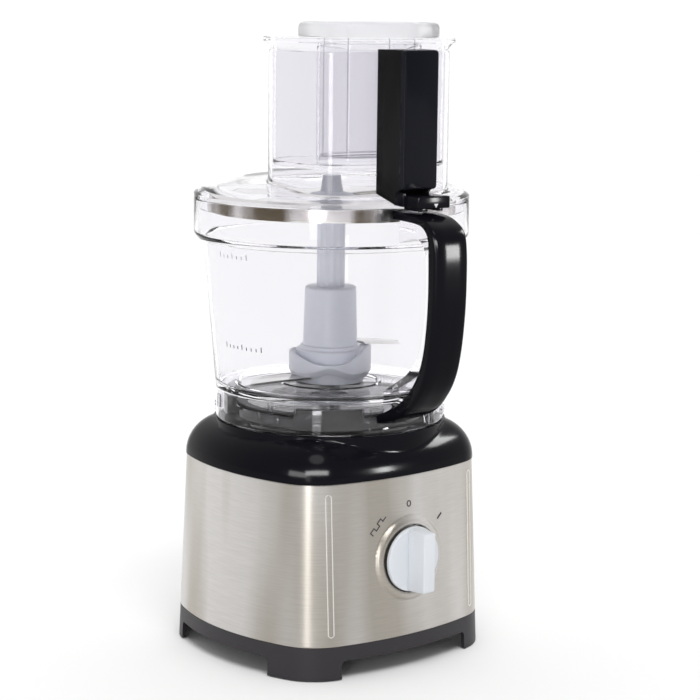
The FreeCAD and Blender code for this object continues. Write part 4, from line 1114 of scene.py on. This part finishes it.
def towards(azimuth, elevation):
    """The direction from the object to a light; azimuth 0 stands before the dial."""
    turn, tilt = math.radians(azimuth), math.radians(elevation)
    return Vector((math.sin(turn) * math.cos(tilt), -math.cos(turn) * math.cos(tilt), math.sin(tilt)))


BOWL_MIDDLE = Vector((0, 0, 0.2))


def hung(lamp, place, distance):
    """An object that holds a lamp at a distance from the bowl and faces it."""
    holder = bpy.data.objects.new(lamp.name, lamp)
    holder.location = BOWL_MIDDLE + place * distance
    holder.rotation_euler = (-place).to_track_quat("-Z", "Y").to_euler()
    bpy.context.scene.collection.objects.link(holder)
    return holder


def area_light(name, azimuth, elevation, distance, wide, tall, power):
    """A soft box that faces the bowl; its distance and size are in metres."""
    lamp = bpy.data.lights.new(name, "AREA")
    lamp.shape = "RECTANGLE"
    lamp.size, lamp.size_y = wide, tall
    lamp.energy = power
    return hung(lamp, towards(azimuth, elevation), distance)


def highlight(*settings):
    """A soft box that only the gloss black parts see, for their crisp highlights."""
    holder = area_light(*settings)
    holder.light_linking.receiver_collection = GLOSS_PARTS


BACKDROP = (0.634, 0.773, 0.0)
FRONT_DIM, BACK_BRIGHT = 0.3, 1.06


def world():
    """Surroundings that glow behind the object and are dim before it, as in a white sweep."""
    made = bpy.data.worlds.new("studio")
    made.use_nodes = True
    tree = made.node_tree
    back = tree.nodes["Background"]
    coordinates = tree.nodes.new("ShaderNodeTexCoord")
    dot = tree.nodes.new("ShaderNodeVectorMath")
    dot.operation = "DOT_PRODUCT"
    dot.inputs[1].default_value = BACKDROP
    shift = tree.nodes.new("ShaderNodeMath")
    shift.operation = "MULTIPLY_ADD"
    shift.inputs[1].default_value = 0.5
    shift.inputs[2].default_value = 0.5
    tones = ramp(tree, shift.outputs["Value"], (FRONT_DIM,) * 3, (1, 1, 1), 0.15, 0.8)
    tones.color_ramp.interpolation = "EASE"
    tree.links.new(coordinates.outputs["Generated"], dot.inputs[0])
    tree.links.new(dot.outputs["Value"], shift.inputs[0])
    tree.links.new(tones.outputs["Color"], back.inputs["Color"])
    back.inputs["Strength"].default_value = BACK_BRIGHT
    bpy.context.scene.world = made


def sun(azimuth, elevation, strength, angle):
    """One wide soft sun, so that the floor is evenly bright out to the horizon."""
    lamp = bpy.data.lights.new("sun", "SUN")
    lamp.energy, lamp.angle = strength, math.radians(angle)
    hung(lamp, towards(azimuth, elevation), 0)


CAMERA_PLACE = Vector((-0.9156, -1.1186, 0.4496))
CAMERA_HEADING, CAMERA_PAN, CAMERA_TILT, CAMERA_ROLL = 39.3, 0.548, 9.599, 0.679
CAMERA_LENS, SENSOR_WIDTH = 108.96, 36


def camera():
    """The camera at the viewing angle: heading about Z, then pan, tilt down and roll."""
    heading, pan, tilt, roll = (math.radians(angle) for angle in
                                (CAMERA_HEADING, CAMERA_PAN, CAMERA_TILT, CAMERA_ROLL))
    ahead = Vector((math.sin(heading + pan), math.cos(heading + pan), 0))
    right = Vector((math.cos(heading + pan), -math.sin(heading + pan), 0))
    above = Vector((0, 0, 1))
    ahead, above = (ahead * math.cos(tilt) - above * math.sin(tilt),
                    above * math.cos(tilt) + ahead * math.sin(tilt))
    right, above = (right * math.cos(roll) + above * math.sin(roll),
                    above * math.cos(roll) - right * math.sin(roll))
    lens = bpy.data.cameras.new("camera")
    lens.lens = CAMERA_LENS
    lens.sensor_width = SENSOR_WIDTH
    lens.clip_start = 0.01
    holder = bpy.data.objects.new("camera", lens)
    facing = Matrix((right, above, -ahead)).transposed().to_4x4()
    holder.matrix_world = Matrix.Translation(CAMERA_PLACE) @ facing
    bpy.context.scene.collection.objects.link(holder)
    bpy.context.scene.camera = holder


def studio():
    """Floor, surroundings, lights and camera."""
    floor()
    world()
    sun(-30, 62, 1.45, 28)
    area_light("corner_box", -52, 3, 1.9, 0.3, 0.7, 6)
    highlight("front_box", -33, 19, 1.8, 1.6, 0.4, 165)
    highlight("left_box", -76, 12, 1.8, 1.3, 0.42, 60)
    highlight("right_box", 28, 6, 1.7, 0.2, 0.34, 32)
    highlight("side_box", 72, 34, 1.7, 0.5, 0.4, 30)
    bpy.context.scene.view_settings.view_transform = "Standard"
    camera()


def link_gloss_parts():
    """Lets the highlight boxes light every gloss black piece."""
    for piece in bpy.context.scene.objects:
        if piece.type == "MESH" and GLOSS.name in piece.data.materials:
            GLOSS_PARTS.objects.link(piece)


clear_defaults()
studio()
dress_nodes()
steel_band()
upper_housing()
dial()
dial_marks()
rib_outlines()
bowl()
skirt_ribs()
bowl_marks()
handle()
blade_hub()
drive_stem()
sickle("blade_low", "lower_blade", 188.0, 180, 0.0)
sickle("blade_high", "upper_blade", 208.0, 5, -6.5)
disc_band()
lid()
lock_housing()
large_pusher()
small_pusher()
link_gloss_parts()
